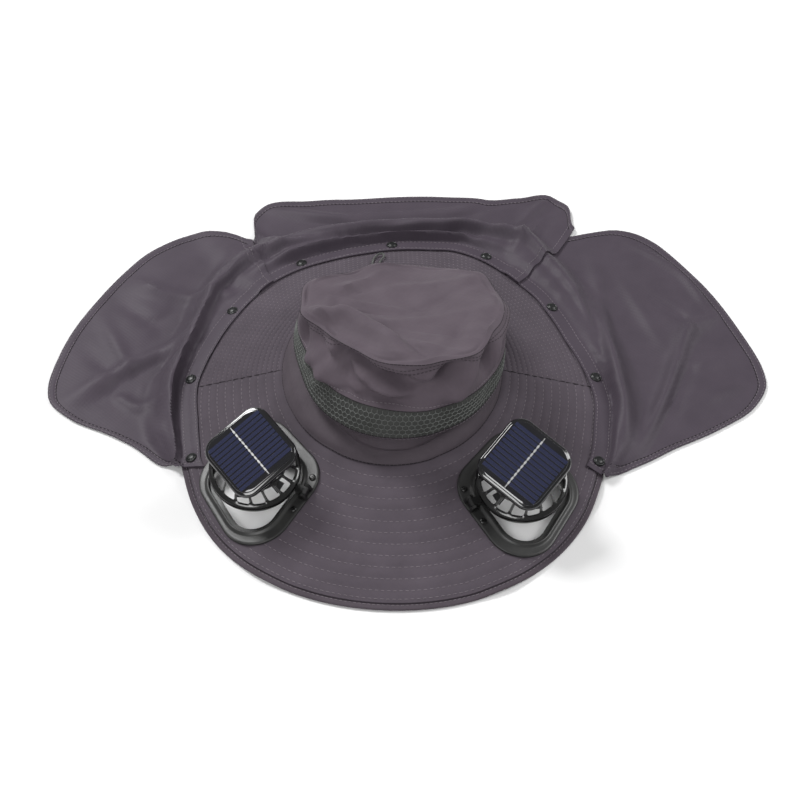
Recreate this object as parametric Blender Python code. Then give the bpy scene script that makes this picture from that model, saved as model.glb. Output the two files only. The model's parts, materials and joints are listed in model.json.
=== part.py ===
"""Bucket hat with a wide brim, a snap-on neck flap in three panels and two tilting solar fans.

Metres, +Z up. The hat lies on the plane z = 0, its front towards -Y, and the origin is on that
plane under the middle of the head opening. Angles are degrees round the origin, 0 at +X, 90 at
the back of the hat and 270 at its front.
"""

import math

import bpy
import bmesh
from mathutils import Matrix, Vector

# Fits between pieces
GAP = 0.0003
CLOTH_CLEARANCE = 0.0009

# Head opening and crown
HEAD_HALF_WIDTH = 0.090
HEAD_HALF_LENGTH = 0.104
SEAM_ALLOWANCE = 0.004
CROWN_WALL = 0.0015
CROWN_TOP_HALF_SIZE = 0.079
CROWN_TOP_SHIFT_X = 0.004
CROWN_TOP_SHIFT_Y = -0.007
CROWN_TOP_HEIGHT = 0.102
CROWN_SLUMP = -0.255
LOWER_BAND_SHARE = 0.29
MESH_BAND_SHARE = 0.26
CROWN_BULGE = 0.0015
DENT_DEPTH = 0.010
TOP_FOLD_HEIGHT = 0.009

# Brim
BRIM_REACH = 0.223
BRIM_THICKNESS = 0.0020
BRIM_SEAM_HEIGHT = 0.030
BRIM_EDGE_RISE = 0.012
BINDING_WIDTH = 0.005
BINDING_THICKNESS = 0.0024
FAN_FLAT_HALF_ANGLE = 14.0
FAN_FLAT_BLEND = 10.0

# Neck flap. Its strip is snapped along the brim's edge, so it follows the brim's reach
FLAP_THICKNESS = 0.0012
STRIP_REACH = 0.7175 * BRIM_REACH
STRIP_WIDTH = 0.0142
FLAP_LENGTH = 0.160
FOLD_RISE = 0.027
FOLD_SHOULDER = 0.005
FOLD_RUN = 0.026
EDGE_OVERHANG = 0.004
EDGE_FALL = 0.5
FLAP_STEP = 5.0

# Snaps on the flap strip
SNAP_COUNT = 9
SNAP_FIRST_ANGLE = -25.6
SNAP_LAST_ANGLE = 206.0
SNAP_FROM_EDGE = 0.0075
SNAP_RADIUS = 0.0048
SNAP_HEIGHT = 0.0022

# Drawcord loop behind the crown
CORD_RADIUS = 0.0009

# Fan seats on the brim: name, side, middle across and back as shares of BRIM_REACH, and the way the
# brim falls there in degrees
FAN_PLACES = (("right", 1, 0.444, -0.526, -41.0), ("left", -1, -0.4664, -0.4753, -141.0))
RING_RADIUS = 0.0360
FLANGE_THICKNESS = 0.0020
LIP_HEIGHT = 0.0015
LIP_WIDTH = 0.0016
FLANGE_CORNER_RADIUS = 0.030
OPENING_CORNER_RADIUS = 0.022
BRIM_HOLE_MARGIN = 0.0015
SCREW_RADIUS = 0.0026
SCREW_HEIGHT = 0.0012

# Hinges
HINGE_ANGLE = 207.0
HINGE_DISTANCE = RING_RADIUS + 0.0075
PIN_RADIUS = 0.0014
PIN_CLEARANCE = 0.0003
KNUCKLE_RADIUS = 0.0030
KNUCKLE_WIDTH = 0.0060
EAR_THICKNESS = 0.0025
HEAD_REST_ANGLE = 12.0

# Fan heads
RING_HEIGHT = 0.0055
GUARD_WALL = 0.0018
GUARD_RISE = 0.0170
GUARD_SPOKES = 16
GUARD_SWEEP = 14.0
HUB_RADIUS = 0.0130
MOTOR_RADIUS = 0.0100
MOTOR_HEIGHT = 0.0110
ROTOR_HUB_RADIUS = 0.0105
ROTOR_TIP_CLEARANCE = 0.0062
ROTOR_RADIUS = RING_RADIUS - GUARD_WALL - ROTOR_TIP_CLEARANCE
ROTOR_HEIGHT = 0.0060
ROTOR_BLADES = 5
BLADE_PITCH = 52.0
PANEL_SIDE = 0.0570
PANEL_CORNER_RADIUS = 0.0130
PANEL_TURN = -39.0
PANEL_TILTS = {"right": (13.0, 2.0), "left": (10.0, 9.0)}
TRAY_HEIGHT = 0.0075
TRAY_NECK_HEIGHT = 0.0050
TRAY_NECK_RADIUS = 0.0110
TRAY_LIP = 0.0015
CELL_THICKNESS = 0.0016
CELL_INSET = 0.0022

ROUND_STEPS = 40
BRIM_STATIONS = 4
ANGLE_STEP = 360.0 / ROUND_STEPS

# Brim outline: angle, reach as a share of BRIM_REACH, rise of the edge as a share of BRIM_EDGE_RISE
BRIM_OUTLINE = (
    (0, 0.794, 0.30),
    (22, 0.772, 0.70),
    (45, 0.776, 1.00),
    (68, 0.806, 1.00),
    (90, 0.790, 0.95),
    (112, 0.772, 0.85),
    (136, 0.778, 0.65),
    (160, 0.780, 0.40),
    (180, 0.789, 0.20),
    (196, 0.806, 0.10),
    (208, 0.846, 0.00),
    (220, 0.897, 0.00),
    (232, 0.943, 0.00),
    (244, 0.972, 0.00),
    (262, 0.990, 0.00),
    (280, 0.996, 0.00),
    (292, 0.990, 0.00),
    (304, 0.965, 0.00),
    (316, 0.925, 0.00),
    (328, 0.873, 0.00),
    (342, 0.820, 0.10),
)

# Crown wall dents: angle, level from seam to top, spread in degrees, spread in level, depth share
CROWN_DENTS = (
    (236, 0.84, 13, 0.13, 0.90),
    (258, 0.68, 16, 0.12, 0.60),
    (300, 0.80, 14, 0.13, 0.50),
    (322, 0.84, 13, 0.12, 0.45),
    (190, 0.42, 34, 0.28, 1.00),
    (5, 0.85, 34, 0.20, -0.60),
    (225, 0.17, 26, 0.08, 0.40),
    (305, 0.15, 24, 0.08, 0.40),
    (90, 0.45, 60, 0.25, -0.90),
)

# Rim of the crown's top: angle round its middle, reach as a share of its half size
TOP_RIM = (
    (0, 1.05), (25, 1.12), (50, 1.14), (75, 1.08), (95, 1.02), (125, 0.98), (150, 1.00),
    (172, 0.95), (186, 0.89), (202, 0.81), (225, 0.78), (240, 0.80), (256, 0.87), (272, 0.94),
    (290, 1.03), (310, 1.06), (335, 1.05),
)

# Folds in the crown's top: place across and along, direction in degrees, half length and half
# width, height share. Lengths are shares of the top's half size
TOP_FOLDS = (
    (-0.66, -0.14, 2, 0.36, 0.15, 0.95),
    (-0.30, -0.33, -40, 0.34, 0.15, 0.85),
    (-0.02, -0.66, -68, 0.30, 0.15, 0.50),
    (0.15, 0.20, 0, 0.60, 0.50, -0.45),
    (0.72, 0.30, 110, 0.45, 0.18, 0.30),
)

# Folds where the flap leaves the brim: line angle, inner edge and crest as shares of STRIP_REACH,
# crest height as a share of FOLD_RISE, then place between strip and crest and height share of an
# inner ridge and of the dip behind it, and how far the line turns by the outer edge in degrees
FLAP_FOLDS = (
    (-29, 1.108, 1.195, 0.34, 0.35, 0.28, 0.70, 0.32, 0.0),
    (-22, 1.090, 1.195, 0.42, 0.35, 0.30, 0.70, 0.38, 0.0),
    (-14, 1.062, 1.175, 0.52, 0.35, 0.36, 0.70, 0.48, 0.0),
    (-6, 1.050, 1.155, 0.60, 0.35, 0.40, 0.70, 0.54, 1.0),
    (2, 1.020, 1.150, 0.66, 0.35, 0.42, 0.70, 0.58, 2.8),
    (10, 0.988, 1.142, 0.68, 0.35, 0.50, 0.70, 0.62, 3.0),
    (20, 0.960, 1.150, 0.68, 0.35, 0.55, 0.70, 0.60, 3.8),
    (30, 0.965, 1.185, 0.70, 0.35, 0.62, 0.70, 0.58, 4.6),
    (38, 0.980, 1.220, 0.74, 0.35, 0.70, 0.70, 0.62, 5.0),
    (46, 0.988, 1.265, 0.82, 0.35, 0.76, 0.70, 0.66, 5.1),
    (54, 1.008, 1.310, 0.96, 0.35, 0.74, 0.65, 0.76, 4.2),
    (62, 1.030, 1.280, 1.00, 0.32, 0.88, 0.62, 0.74, 2.8),
    (70, 1.040, 1.225, 1.00, 0.30, 0.96, 0.60, 0.76, 1.0),
    (79, 1.006, 1.175, 1.00, 0.30, 0.98, 0.62, 0.74, 0.0),
    (90, 0.985, 1.145, 0.98, 0.28, 0.98, 0.62, 0.74, 0.0),
    (100, 0.968, 1.145, 0.96, 0.28, 0.96, 0.62, 0.72, -1.5),
    (110, 0.970, 1.165, 0.94, 0.30, 0.94, 0.62, 0.68, -4.0),
    (121, 0.985, 1.205, 0.90, 0.30, 0.86, 0.60, 0.62, -6.0),
    (131, 0.990, 1.245, 0.80, 0.34, 0.60, 0.62, 0.46, -7.2),
    (141, 0.975, 1.210, 0.72, 0.40, 0.40, 0.75, 0.42, -5.0),
    (151, 0.965, 1.150, 0.68, 0.40, 0.34, 0.78, 0.45, -2.0),
    (161, 0.968, 1.108, 0.68, 0.40, 0.32, 0.78, 0.48, -0.5),
    (171, 0.985, 1.112, 0.68, 0.40, 0.32, 0.78, 0.48, 0.0),
    (181, 1.008, 1.122, 0.64, 0.40, 0.31, 0.78, 0.46, 0.0),
    (191, 1.012, 1.140, 0.58, 0.40, 0.31, 0.78, 0.42, 0.0),
    (201, 1.040, 1.150, 0.46, 0.40, 0.30, 0.78, 0.36, 0.0),
    (211, 1.085, 1.150, 0.34, 0.40, 0.28, 0.78, 0.30, -5.0),
)

# Outer edges of the flap's panels: line angle, length past the strip's inner edge as a share of
# FLAP_LENGTH
RIGHT_OUTLINE = (
    (-29, 0.116), (-24, 0.198), (-19, 0.312), (-14, 0.443), (-9, 0.635), (-4, 0.841), (0, 0.933),
    (4, 0.945), (11, 0.941), (18, 0.947), (26, 0.931), (32, 0.923), (36, 0.895), (40, 0.824),
    (43, 0.701), (46, 0.578), (51, 0.473),
)
BACK_OUTLINE = (
    (46, 0.663), (51, 0.787), (56, 0.808), (62, 0.691), (70, 0.595), (78, 0.591), (90, 0.581),
    (100, 0.596), (106, 0.616), (113, 0.639), (121, 0.683), (126, 0.633), (131, 0.434),
    (136, 0.411),
)
LEFT_OUTLINE = (
    (131, 0.434), (134, 0.576), (137, 0.676), (141, 0.742), (147, 0.786), (156, 0.791),
    (166, 0.806), (176, 0.800), (181, 0.778), (186, 0.656), (191, 0.462), (196, 0.330),
    (201, 0.248), (206, 0.177), (211, 0.114),
)

# Panels: name, first and last line, outline, wrinkles, and where a lapped edge rides on its neighbour
# A wrinkle is: line angle, share of the way out, spread in degrees, spread in share, height share
RIGHT_WRINKLES = ((14, 0.50, 9, 0.22, 0.10), (-2, 0.45, 7, 0.30, 0.08), (30, 0.55, 6, 0.25, 0.07))
BACK_WRINKLES = ((100, 0.60, 12, 0.30, 0.05), (72, 0.55, 9, 0.30, 0.08))
LEFT_WRINKLES = (
    (160, 0.40, 9, 0.30, 0.13), (178, 0.55, 7, 0.25, 0.10), (147, 0.50, 6, 0.30, 0.07),
)
PANELS = (
    ("flap_right", -29.0, 51.0, RIGHT_OUTLINE, RIGHT_WRINKLES, ()),
    ("flap_back", 46.0, 136.0, BACK_OUTLINE, BACK_WRINKLES, (46.0, 51.0)),
    ("flap_left", 131.0, 211.0, LEFT_OUTLINE, LEFT_WRINKLES, (131.0, 136.0)),
)

# Flange outline and air opening: corners across and along from the fan's middle, as shares of
# RING_RADIUS
FLANGE_CORNERS = ((-1.556, -0.028), (0.069, -2.403), (1.500, 0.111), (0.069, 2.083))
OPENING_CORNERS = ((-1.139, -0.056), (0.097, -1.903), (1.228, 0.056), (0.069, 1.556))

# Screws beside the hinge: place, distance along the pin's line and from the fan's middle, as shares
# of RING_RADIUS
SCREWS = (("front", 0.431, 1.139), ("back", -0.417, 1.153))

# Route of the drawcord loop: across, back, height over the brim
CORD_ROUTE = (
    (-0.0170, 0.1060, 0.0080), (-0.0172, 0.1120, 0.0045), (-0.0175, 0.1200, 0.0014),
    (-0.0178, 0.1290, 0.0013), (-0.0175, 0.1370, 0.0013), (-0.0160, 0.1450, 0.0016),
    (-0.0120, 0.1500, 0.0026), (-0.0080, 0.1490, 0.0030), (-0.0080, 0.1440, 0.0026),
    (-0.0110, 0.1380, 0.0014), (-0.0125, 0.1290, 0.0013), (-0.0120, 0.1200, 0.0014),
    (-0.0118, 0.1120, 0.0045), (-0.0118, 0.1060, 0.0080),
)
CORD_POINTS_PER_LEG = 2

# Materials: colour, roughness, metallic
MATERIALS = {
    "fabric": ((0.106, 0.084, 0.100), 0.75, 0.0),
    "mesh_fabric": ((0.085, 0.088, 0.090), 0.80, 0.0),
    "black_plastic": ((0.012, 0.012, 0.012), 0.35, 0.0),
    "snap_plastic": ((0.020, 0.022, 0.022), 0.45, 0.0),
    "solar_cell": ((0.014, 0.017, 0.050), 0.15, 0.0),
    "cord": ((0.110, 0.110, 0.105), 0.80, 0.0),
    "screw_steel": ((0.060, 0.060, 0.060), 0.35, 1.0),
}


# Tables and angles


def read_table(rows, column, angle, period=None):
    """Smooth value of a table's column at an angle, through its rows, flat past its ends."""
    angles = [row[0] for row in rows]
    values = [row[column] for row in rows]
    if period:
        before = [angles[-2] - period, angles[-1] - period]
        angles = before + angles + [angles[0] + period, angles[1] + period]
        values = values[-2:] + values + values[:2]
        angle = (angle - rows[0][0]) % period + rows[0][0]
    if angle <= angles[0]:
        return values[0]
    if angle >= angles[-1]:
        return values[-1]
    i = max(k for k in range(len(angles) - 1) if angles[k] <= angle)
    span = angles[i + 1] - angles[i]
    share = (angle - angles[i]) / span

    def slope(k):
        if k == 0 or k == len(angles) - 1:
            return 0.0
        near = (values[k] - values[k - 1]) / (angles[k] - angles[k - 1])
        far = (values[k + 1] - values[k]) / (angles[k + 1] - angles[k])
        if near * far <= 0:
            return 0.0
        return 2 * near * far / (near + far)

    s2 = share * share
    s3 = s2 * share
    return (
        (2 * s3 - 3 * s2 + 1) * values[i]
        + (s3 - 2 * s2 + share) * span * slope(i)
        + (3 * s2 - 2 * s3) * values[i + 1]
        + (s3 - s2) * span * slope(i + 1)
    )


def direction(angle):
    turn = math.radians(angle)
    return Vector((math.cos(turn), math.sin(turn), 0.0))


def angle_between(a, b):
    return abs((a - b + 180.0) % 360.0 - 180.0)


def smooth_share(value):
    value = min(1.0, max(0.0, value))
    return value * value * (3 - 2 * value)


def bump(offset, spread):
    return math.exp(-((offset / spread) ** 2))


def ellipse_reach(half_width, half_length, angle):
    turn = math.radians(angle)
    return 1.0 / math.hypot(math.cos(turn) / half_width, math.sin(turn) / half_length)


# Brim surface


def seam_reach(angle):
    return ellipse_reach(HEAD_HALF_WIDTH, HEAD_HALF_LENGTH, angle)


def outline_reach(angle):
    return BRIM_REACH * read_table(BRIM_OUTLINE, 1, angle, 360.0)


def edge_height(angle):
    return BINDING_THICKNESS + GAP + BRIM_EDGE_RISE * read_table(BRIM_OUTLINE, 2, angle, 360.0)


def cone_height(angle, reach):
    share = (reach - seam_reach(angle)) / (outline_reach(angle) - seam_reach(angle))
    return BRIM_SEAM_HEIGHT + (edge_height(angle) - BRIM_SEAM_HEIGHT) * share


def fan_middle(place):
    return Vector((place[2], place[3], 0.0)) * BRIM_REACH


def fan_angle(place):
    return math.degrees(math.atan2(place[3], place[2]))


def fan_fall(place):
    """Slope of the flat that a fan's stiff flange pulls the brim into, as a vector downhill."""
    angle = fan_angle(place)
    fall = BRIM_SEAM_HEIGHT - edge_height(angle)
    run = (outline_reach(angle) - seam_reach(angle)) * direction(angle).dot(direction(place[4]))
    return direction(place[4]) * (fall / run)


def fan_plane_height(place, x, y):
    """Height of that flat over a point."""
    angle = fan_angle(place)
    offset = Vector((x, y, 0.0)) - direction(angle) * seam_reach(angle)
    return BRIM_SEAM_HEIGHT - fan_fall(place).dot(offset)


def line_height(angle, reach):
    """Height of the brim's upper face along one of its radial lines."""
    height = cone_height(angle, reach)
    point = direction(angle) * reach
    for place in FAN_PLACES:
        off = angle_between(angle, fan_angle(place))
        weight = 1.0 - smooth_share((off - FAN_FLAT_HALF_ANGLE) / FAN_FLAT_BLEND)
        if weight > 0:
            height += weight * (fan_plane_height(place, point.x, point.y) - height)
    return height


def height_between_lines(height_at, start, step, angle, reach):
    """Height of a surface that runs straight from each of its radial lines to the next."""
    first = start + math.floor((angle - start) / step) * step
    half = math.radians(step / 2)
    off = math.radians(angle - first) - half
    share = 0.5 + 0.5 * math.tan(off) / math.tan(half)
    level = reach * math.cos(off) / math.cos(half)
    low = height_at(first, level)
    return low + share * (height_at(first + step, level) - low)


def brim_top(angle, reach):
    """Height of the brim's upper face."""
    return height_between_lines(line_height, 0.0, ANGLE_STEP, angle, reach)


# Meshes


def add_node(name, mesh_source, material, parent=None):
    """An object from a bmesh, smooth with sharp edges kept."""
    mesh = bpy.data.meshes.new(name)
    mesh_source.to_mesh(mesh)
    mesh_source.free()
    mesh.shade_smooth()
    mesh.set_sharp_from_angle(angle=math.radians(35))
    mesh.materials.append(bpy.data.materials[material])
    thing = bpy.data.objects.new(name, mesh)
    bpy.context.scene.collection.objects.link(thing)
    thing.parent = parent
    return thing


def add_quad(bm, a, b, c, d):
    """Two triangles, always split the same way, so that nested sheets stay parallel."""
    bm.faces.new((a, b, c))
    bm.faces.new((a, c, d))


def shell(outer, inner, wrap=False, keep=None):
    """Closed body between two grids of points. Rows run along the first index, and wrap closes them.
    keep says which cells of the grid are there."""
    rows = len(outer)
    columns = len(outer[0])
    bm = bmesh.new()
    top = [[bm.verts.new(p) for p in row] for row in outer]
    low = [[bm.verts.new(p) for p in row] for row in inner]
    row_cells = rows if wrap else rows - 1

    def present(i, j):
        if wrap:
            i %= rows
        if i < 0 or j < 0 or i >= row_cells or j >= columns - 1:
            return False
        return keep is None or keep(i, j)

    for i in range(row_cells):
        n = (i + 1) % rows
        for j in range(columns - 1):
            if not present(i, j):
                continue
            add_quad(bm, top[i][j], top[i][j + 1], top[n][j + 1], top[n][j])
            add_quad(bm, low[i][j], low[n][j], low[n][j + 1], low[i][j + 1])
            if not present(i, j - 1):
                add_quad(bm, top[i][j], top[n][j], low[n][j], low[i][j])
            if not present(i, j + 1):
                add_quad(bm, top[n][j + 1], top[i][j + 1], low[i][j + 1], low[n][j + 1])
            if not present(i - 1, j):
                add_quad(bm, top[i][j + 1], top[i][j], low[i][j], low[i][j + 1])
            if not present(i + 1, j):
                add_quad(bm, top[n][j], top[n][j + 1], low[n][j + 1], low[n][j])
    loose = [v for v in bm.verts if not v.link_faces]
    bmesh.ops.delete(bm, geom=loose, context="VERTS")
    bmesh.ops.recalc_face_normals(bm, faces=bm.faces)
    return bm


def stack(loops, ring=False):
    """Closed body through a stack of loops of points. A ring joins the last loop to the first
    instead of capping both."""
    bm = bmesh.new()
    rows = [[bm.verts.new(p) for p in loop] for loop in loops]
    count = len(rows[0])
    steps = len(rows) if ring else len(rows) - 1
    for i in range(steps):
        upper = rows[(i + 1) % len(rows)]
        for k in range(count):
            n = (k + 1) % count
            bm.faces.new((rows[i][k], rows[i][n], upper[n], upper[k]))
    if not ring:
        bm.faces.new(list(reversed(rows[0])))
        bm.faces.new(rows[-1])
    bmesh.ops.recalc_face_normals(bm, faces=bm.faces)
    return bm


def circle(radius, height, sides):
    return [radius * direction(360.0 * k / sides) + Vector((0, 0, height)) for k in range(sides)]


def turned(profile, sides):
    """Solid of revolution through (radius, height) pairs, bottom to top."""
    return stack([circle(radius, height, sides) for radius, height in profile])


def rounded_outline(corners, radius, height, steps):
    """Closed outline through corners, each rounded with an arc, counter-clockwise."""
    points = []
    count = len(corners)
    for k in range(count):
        corner = Vector((corners[k][0], corners[k][1]))
        before = (Vector(corners[k - 1][:2]) - corner).normalized()
        after = (Vector(corners[(k + 1) % count][:2]) - corner).normalized()
        half = before.angle(after) / 2
        middle = corner + (before + after).normalized() * (radius / math.sin(half))
        start = corner + before * (radius / math.tan(half)) - middle
        sweep = math.pi - 2 * half
        for s in range(steps + 1):
            turn = Matrix.Rotation(sweep * s / steps, 2)
            point = middle + turn @ start
            points.append(Vector((point.x, point.y, height)))
    return points


def grown(outline, amount):
    """The outline moved outward by an amount, seen from above."""
    count = len(outline)
    moved = []
    for k in range(count):
        along = (outline[(k + 1) % count] - outline[k - 1]).normalized()
        moved.append(outline[k] + Vector((along.y, -along.x, 0.0)) * amount)
    return moved


def square(side, radius, height, steps=3):
    half = side / 2
    return rounded_outline(
        ((-half, -half), (half, -half), (half, half), (-half, half)), radius, height, steps
    )


def flip_side(bm, side):
    """Mirrors a body made for the right fan when it is for the left one."""
    if side < 0:
        for v in bm.verts:
            v.co.x = -v.co.x
        bmesh.ops.reverse_faces(bm, faces=bm.faces)
    return bm


# Crown


def crown_top_plane(x, y):
    return CROWN_TOP_HEIGHT + CROWN_SLUMP * (y - CROWN_TOP_SHIFT_Y)


def crown_rim(angle):
    reach = CROWN_TOP_HALF_SIZE * read_table(TOP_RIM, 1, angle, 360.0)
    point = Vector((CROWN_TOP_SHIFT_X, CROWN_TOP_SHIFT_Y, 0.0)) + direction(angle) * reach
    point.z = crown_top_plane(point.x, point.y)
    return point


def crown_wall_point(angle, level):
    """Outer face of the crown's wall, from the brim seam at level 0 to the top seam at level 1."""
    base = direction(angle) * seam_reach(angle)
    base.z = brim_top(angle, seam_reach(angle))
    point = base.lerp(crown_rim(angle), level)
    outward = CROWN_BULGE * math.sin(math.pi * level)
    ends = smooth_share(level / 0.08) * smooth_share((1 - level) / 0.06)
    for place, height, spread, level_spread, depth in CROWN_DENTS:
        reach = bump(angle_between(angle, place), spread) * bump(level - height, level_spread)
        outward -= DENT_DEPTH * depth * reach * ends
    return point + direction(angle) * outward


def crown_band(name, low, high, steps, material):
    outer = []
    inner = []
    for k in range(ROUND_STEPS):
        angle = k * ANGLE_STEP
        column = [crown_wall_point(angle, low + (high - low) * s / steps) for s in range(steps + 1)]
        wall = [p - direction(angle) * CROWN_WALL for p in column]
        for row in (column, wall):
            if low > 0:
                row[0].z += GAP
            else:
                row[0].z = brim_top(angle, row[0].xy.length) + CLOTH_CLEARANCE
            if high == 1.0:
                row[-1].z = crown_top_plane(row[-1].x, row[-1].y)
        outer.append(column)
        inner.append(wall)
    return add_node(name, shell(outer, inner, wrap=True), material)


def top_fold(x, y):
    height = 0.0
    for across, along, turn, length, width, share in TOP_FOLDS:
        offset = Vector((x, y, 0.0)) / CROWN_TOP_HALF_SIZE - Vector((across, along, 0.0))
        axis = direction(turn)
        far = offset.dot(axis) / length
        side = offset.cross(axis).z / width
        height += share * TOP_FOLD_HEIGHT * bump(far, 1.0) * bump(side, 1.0)
    return height


def crown_top():
    """The top panel, a sagging disc with a crease over its front, on the wall's upper edge."""
    shares = (1.0, 0.96, 0.84, 0.68, 0.50, 0.30, 0.10)
    outer = []
    for k in range(ROUND_STEPS):
        rim = crown_rim(k * ANGLE_STEP)
        middle = Vector((CROWN_TOP_SHIFT_X, CROWN_TOP_SHIFT_Y, 0.0))
        row = []
        for share in shares:
            point = middle.lerp(Vector((rim.x, rim.y, 0.0)), share)
            offset = point - middle
            fade = smooth_share((shares[1] - share) / 0.12)
            point.z = crown_top_plane(point.x, point.y) + fade * top_fold(offset.x, offset.y)
            point.z += GAP + CROWN_WALL
            row.append(point)
        outer.append(row)
    inner = [[p - Vector((0, 0, CROWN_WALL)) for p in row] for row in outer]
    bm = bmesh.new()
    top = [[bm.verts.new(p) for p in row] for row in outer]
    low = [[bm.verts.new(p) for p in row] for row in inner]
    for k in range(ROUND_STEPS):
        n = (k + 1) % ROUND_STEPS
        add_quad(bm, top[k][0], low[k][0], low[n][0], top[n][0])
        for j in range(len(shares) - 1):
            add_quad(bm, top[k][j], top[n][j], top[n][j + 1], top[k][j + 1])
            add_quad(bm, low[k][j], low[k][j + 1], low[n][j + 1], low[n][j])
    bm.faces.new([row[-1] for row in top])
    bm.faces.new([row[-1] for row in reversed(low)])
    bmesh.ops.recalc_face_normals(bm, faces=bm.faces)
    return add_node("crown_top", bm, "fabric")


def build_crown():
    lower_end = LOWER_BAND_SHARE
    mesh_end = LOWER_BAND_SHARE + MESH_BAND_SHARE
    crown_band("crown_lower_band", 0.0, lower_end, 2, "fabric")
    crown_band("mesh_band", lower_end, mesh_end, 1, "mesh_fabric")
    crown_band("crown_side", mesh_end, 1.0, 4, "fabric")
    crown_top()


# Brim


def brim_part(name, first, last):
    """Half of the brim, from the head seam to the binding. Its two ends keep a gap to the other half."""
    steps = round((last - first) / ANGLE_STEP)
    outer = []
    for k in range(steps + 1):
        angle = first + (last - first) * k / steps
        near = seam_reach(angle) - SEAM_ALLOWANCE
        far = outline_reach(angle) - BINDING_WIDTH - GAP
        row = []
        for station in range(BRIM_STATIONS + 1):
            reach = near + (far - near) * station / BRIM_STATIONS
            point = direction(angle) * reach
            point.z = brim_top(angle, reach)
            if k == 0:
                point += direction(angle + 90) * GAP / 2
            if k == steps:
                point -= direction(angle + 90) * GAP / 2
            row.append(point)
        outer.append(row)
    inner = [[p - Vector((0, 0, BRIM_THICKNESS)) for p in row] for row in outer]
    return add_node(name, shell(outer, inner), "fabric")


def brim_binding():
    loops = [[], [], [], []]
    for k in range(ROUND_STEPS):
        angle = k * ANGLE_STEP
        far = outline_reach(angle)
        near = far - BINDING_WIDTH
        top = brim_top(angle, far) - GAP
        ends = ((near, top), (far, top), (far, top - BINDING_THICKNESS), (near, top - BINDING_THICKNESS))
        for loop, (reach, height) in zip(loops, ends):
            point = direction(angle) * reach
            point.z = height
            loop.append(point)
    return add_node("brim_binding", stack(loops, ring=True), "fabric")


def build_brim():
    front = brim_part("brim_front", -180.0, 0.0)
    brim_part("brim_back", 0.0, 180.0)
    brim_binding()
    for place in FAN_PLACES:
        cut_air_hole(front, place)


# Neck flap


def flap_cover(angle, reach):
    """Lowest height the flap's upper face may have over the brim."""
    limit = outline_reach(angle)
    over_brim = brim_top(angle, min(reach, limit)) + CLOTH_CLEARANCE + FLAP_THICKNESS
    past_edge = max(0.0, reach - limit - EDGE_OVERHANG)
    return max(FLAP_THICKNESS, over_brim - EDGE_FALL * past_edge)


def strip_top(angle, reach):
    """Height of the upper face of the flap's snapped strip."""
    return height_between_lines(flap_cover, PANELS[0][1], FLAP_STEP, angle, reach)


def flap_stations(line, outline):
    """Reach and height of the flap's upper face along one line, from the strip to the outer edge."""
    columns = [read_table(FLAP_FOLDS, c, line) for c in range(1, 9)]
    inner, crest, crest_height, ridge_place, ridge, dip_place, dip, lean = columns
    start = STRIP_REACH * inner
    end = start + FLAP_LENGTH * read_table(outline, 1, line)
    strip = start + min(STRIP_WIDTH, 0.7 * (end - start))
    top = min(max(STRIP_REACH * crest, strip + FOLD_SHOULDER), start + 0.85 * (end - start))
    run = min(FOLD_RUN, 0.7 * (end - top))
    stations = [
        (start, 0.0),
        (strip, 0.0),
        (strip + ridge_place * (top - strip), ridge * FOLD_RISE),
        (strip + dip_place * (top - strip), dip * FOLD_RISE),
        (top, crest_height * FOLD_RISE),
        (top + 0.25 * run, 0.82 * crest_height * FOLD_RISE),
        (top + 0.60 * run, 0.34 * crest_height * FOLD_RISE),
        (top + run, FLAP_THICKNESS),
    ]
    for share in (0.34, 0.67, 1.0):
        stations.append((top + run + share * (end - top - run), FLAP_THICKNESS))
    return stations, lean, start, end


def wrinkle_height(wrinkles, line, share):
    height = 0.0
    for place, middle, spread, share_spread, size in wrinkles:
        height += size * bump(line - place, spread) * bump(share - middle, share_spread)
    return height * FOLD_RISE * smooth_share(4 * share) * smooth_share(4 * (1 - share))


def flap_line(line, outline, wrinkles, lift):
    stations, lean, start, end = flap_stations(line, outline)
    foot = stations[7][0]
    points = []
    for reach, height in stations:
        angle = line + lean * (reach - start) / (end - start)
        height = max(height, flap_cover(angle, reach))
        out = (reach - foot) / (end - foot)
        if out > 0:
            height += wrinkle_height(wrinkles, line, out)
        point = direction(angle) * reach
        point.z = height + lift
        points.append(point)
    return points


def build_flap():
    """Three panels that lap over each other like shingles, each riding on the one before it."""
    for name, first, last, outline, wrinkles, lapped in PANELS:
        steps = round((last - first) / FLAP_STEP)
        outer = []
        for k in range(steps + 1):
            line = first + FLAP_STEP * k
            lift = FLAP_THICKNESS + CLOTH_CLEARANCE if line in lapped else 0.0
            outer.append(flap_line(line, outline, wrinkles, lift))
        inner = [[p - Vector((0, 0, FLAP_THICKNESS)) for p in row] for row in outer]
        add_node(name, shell(outer, inner), "fabric")


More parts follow.
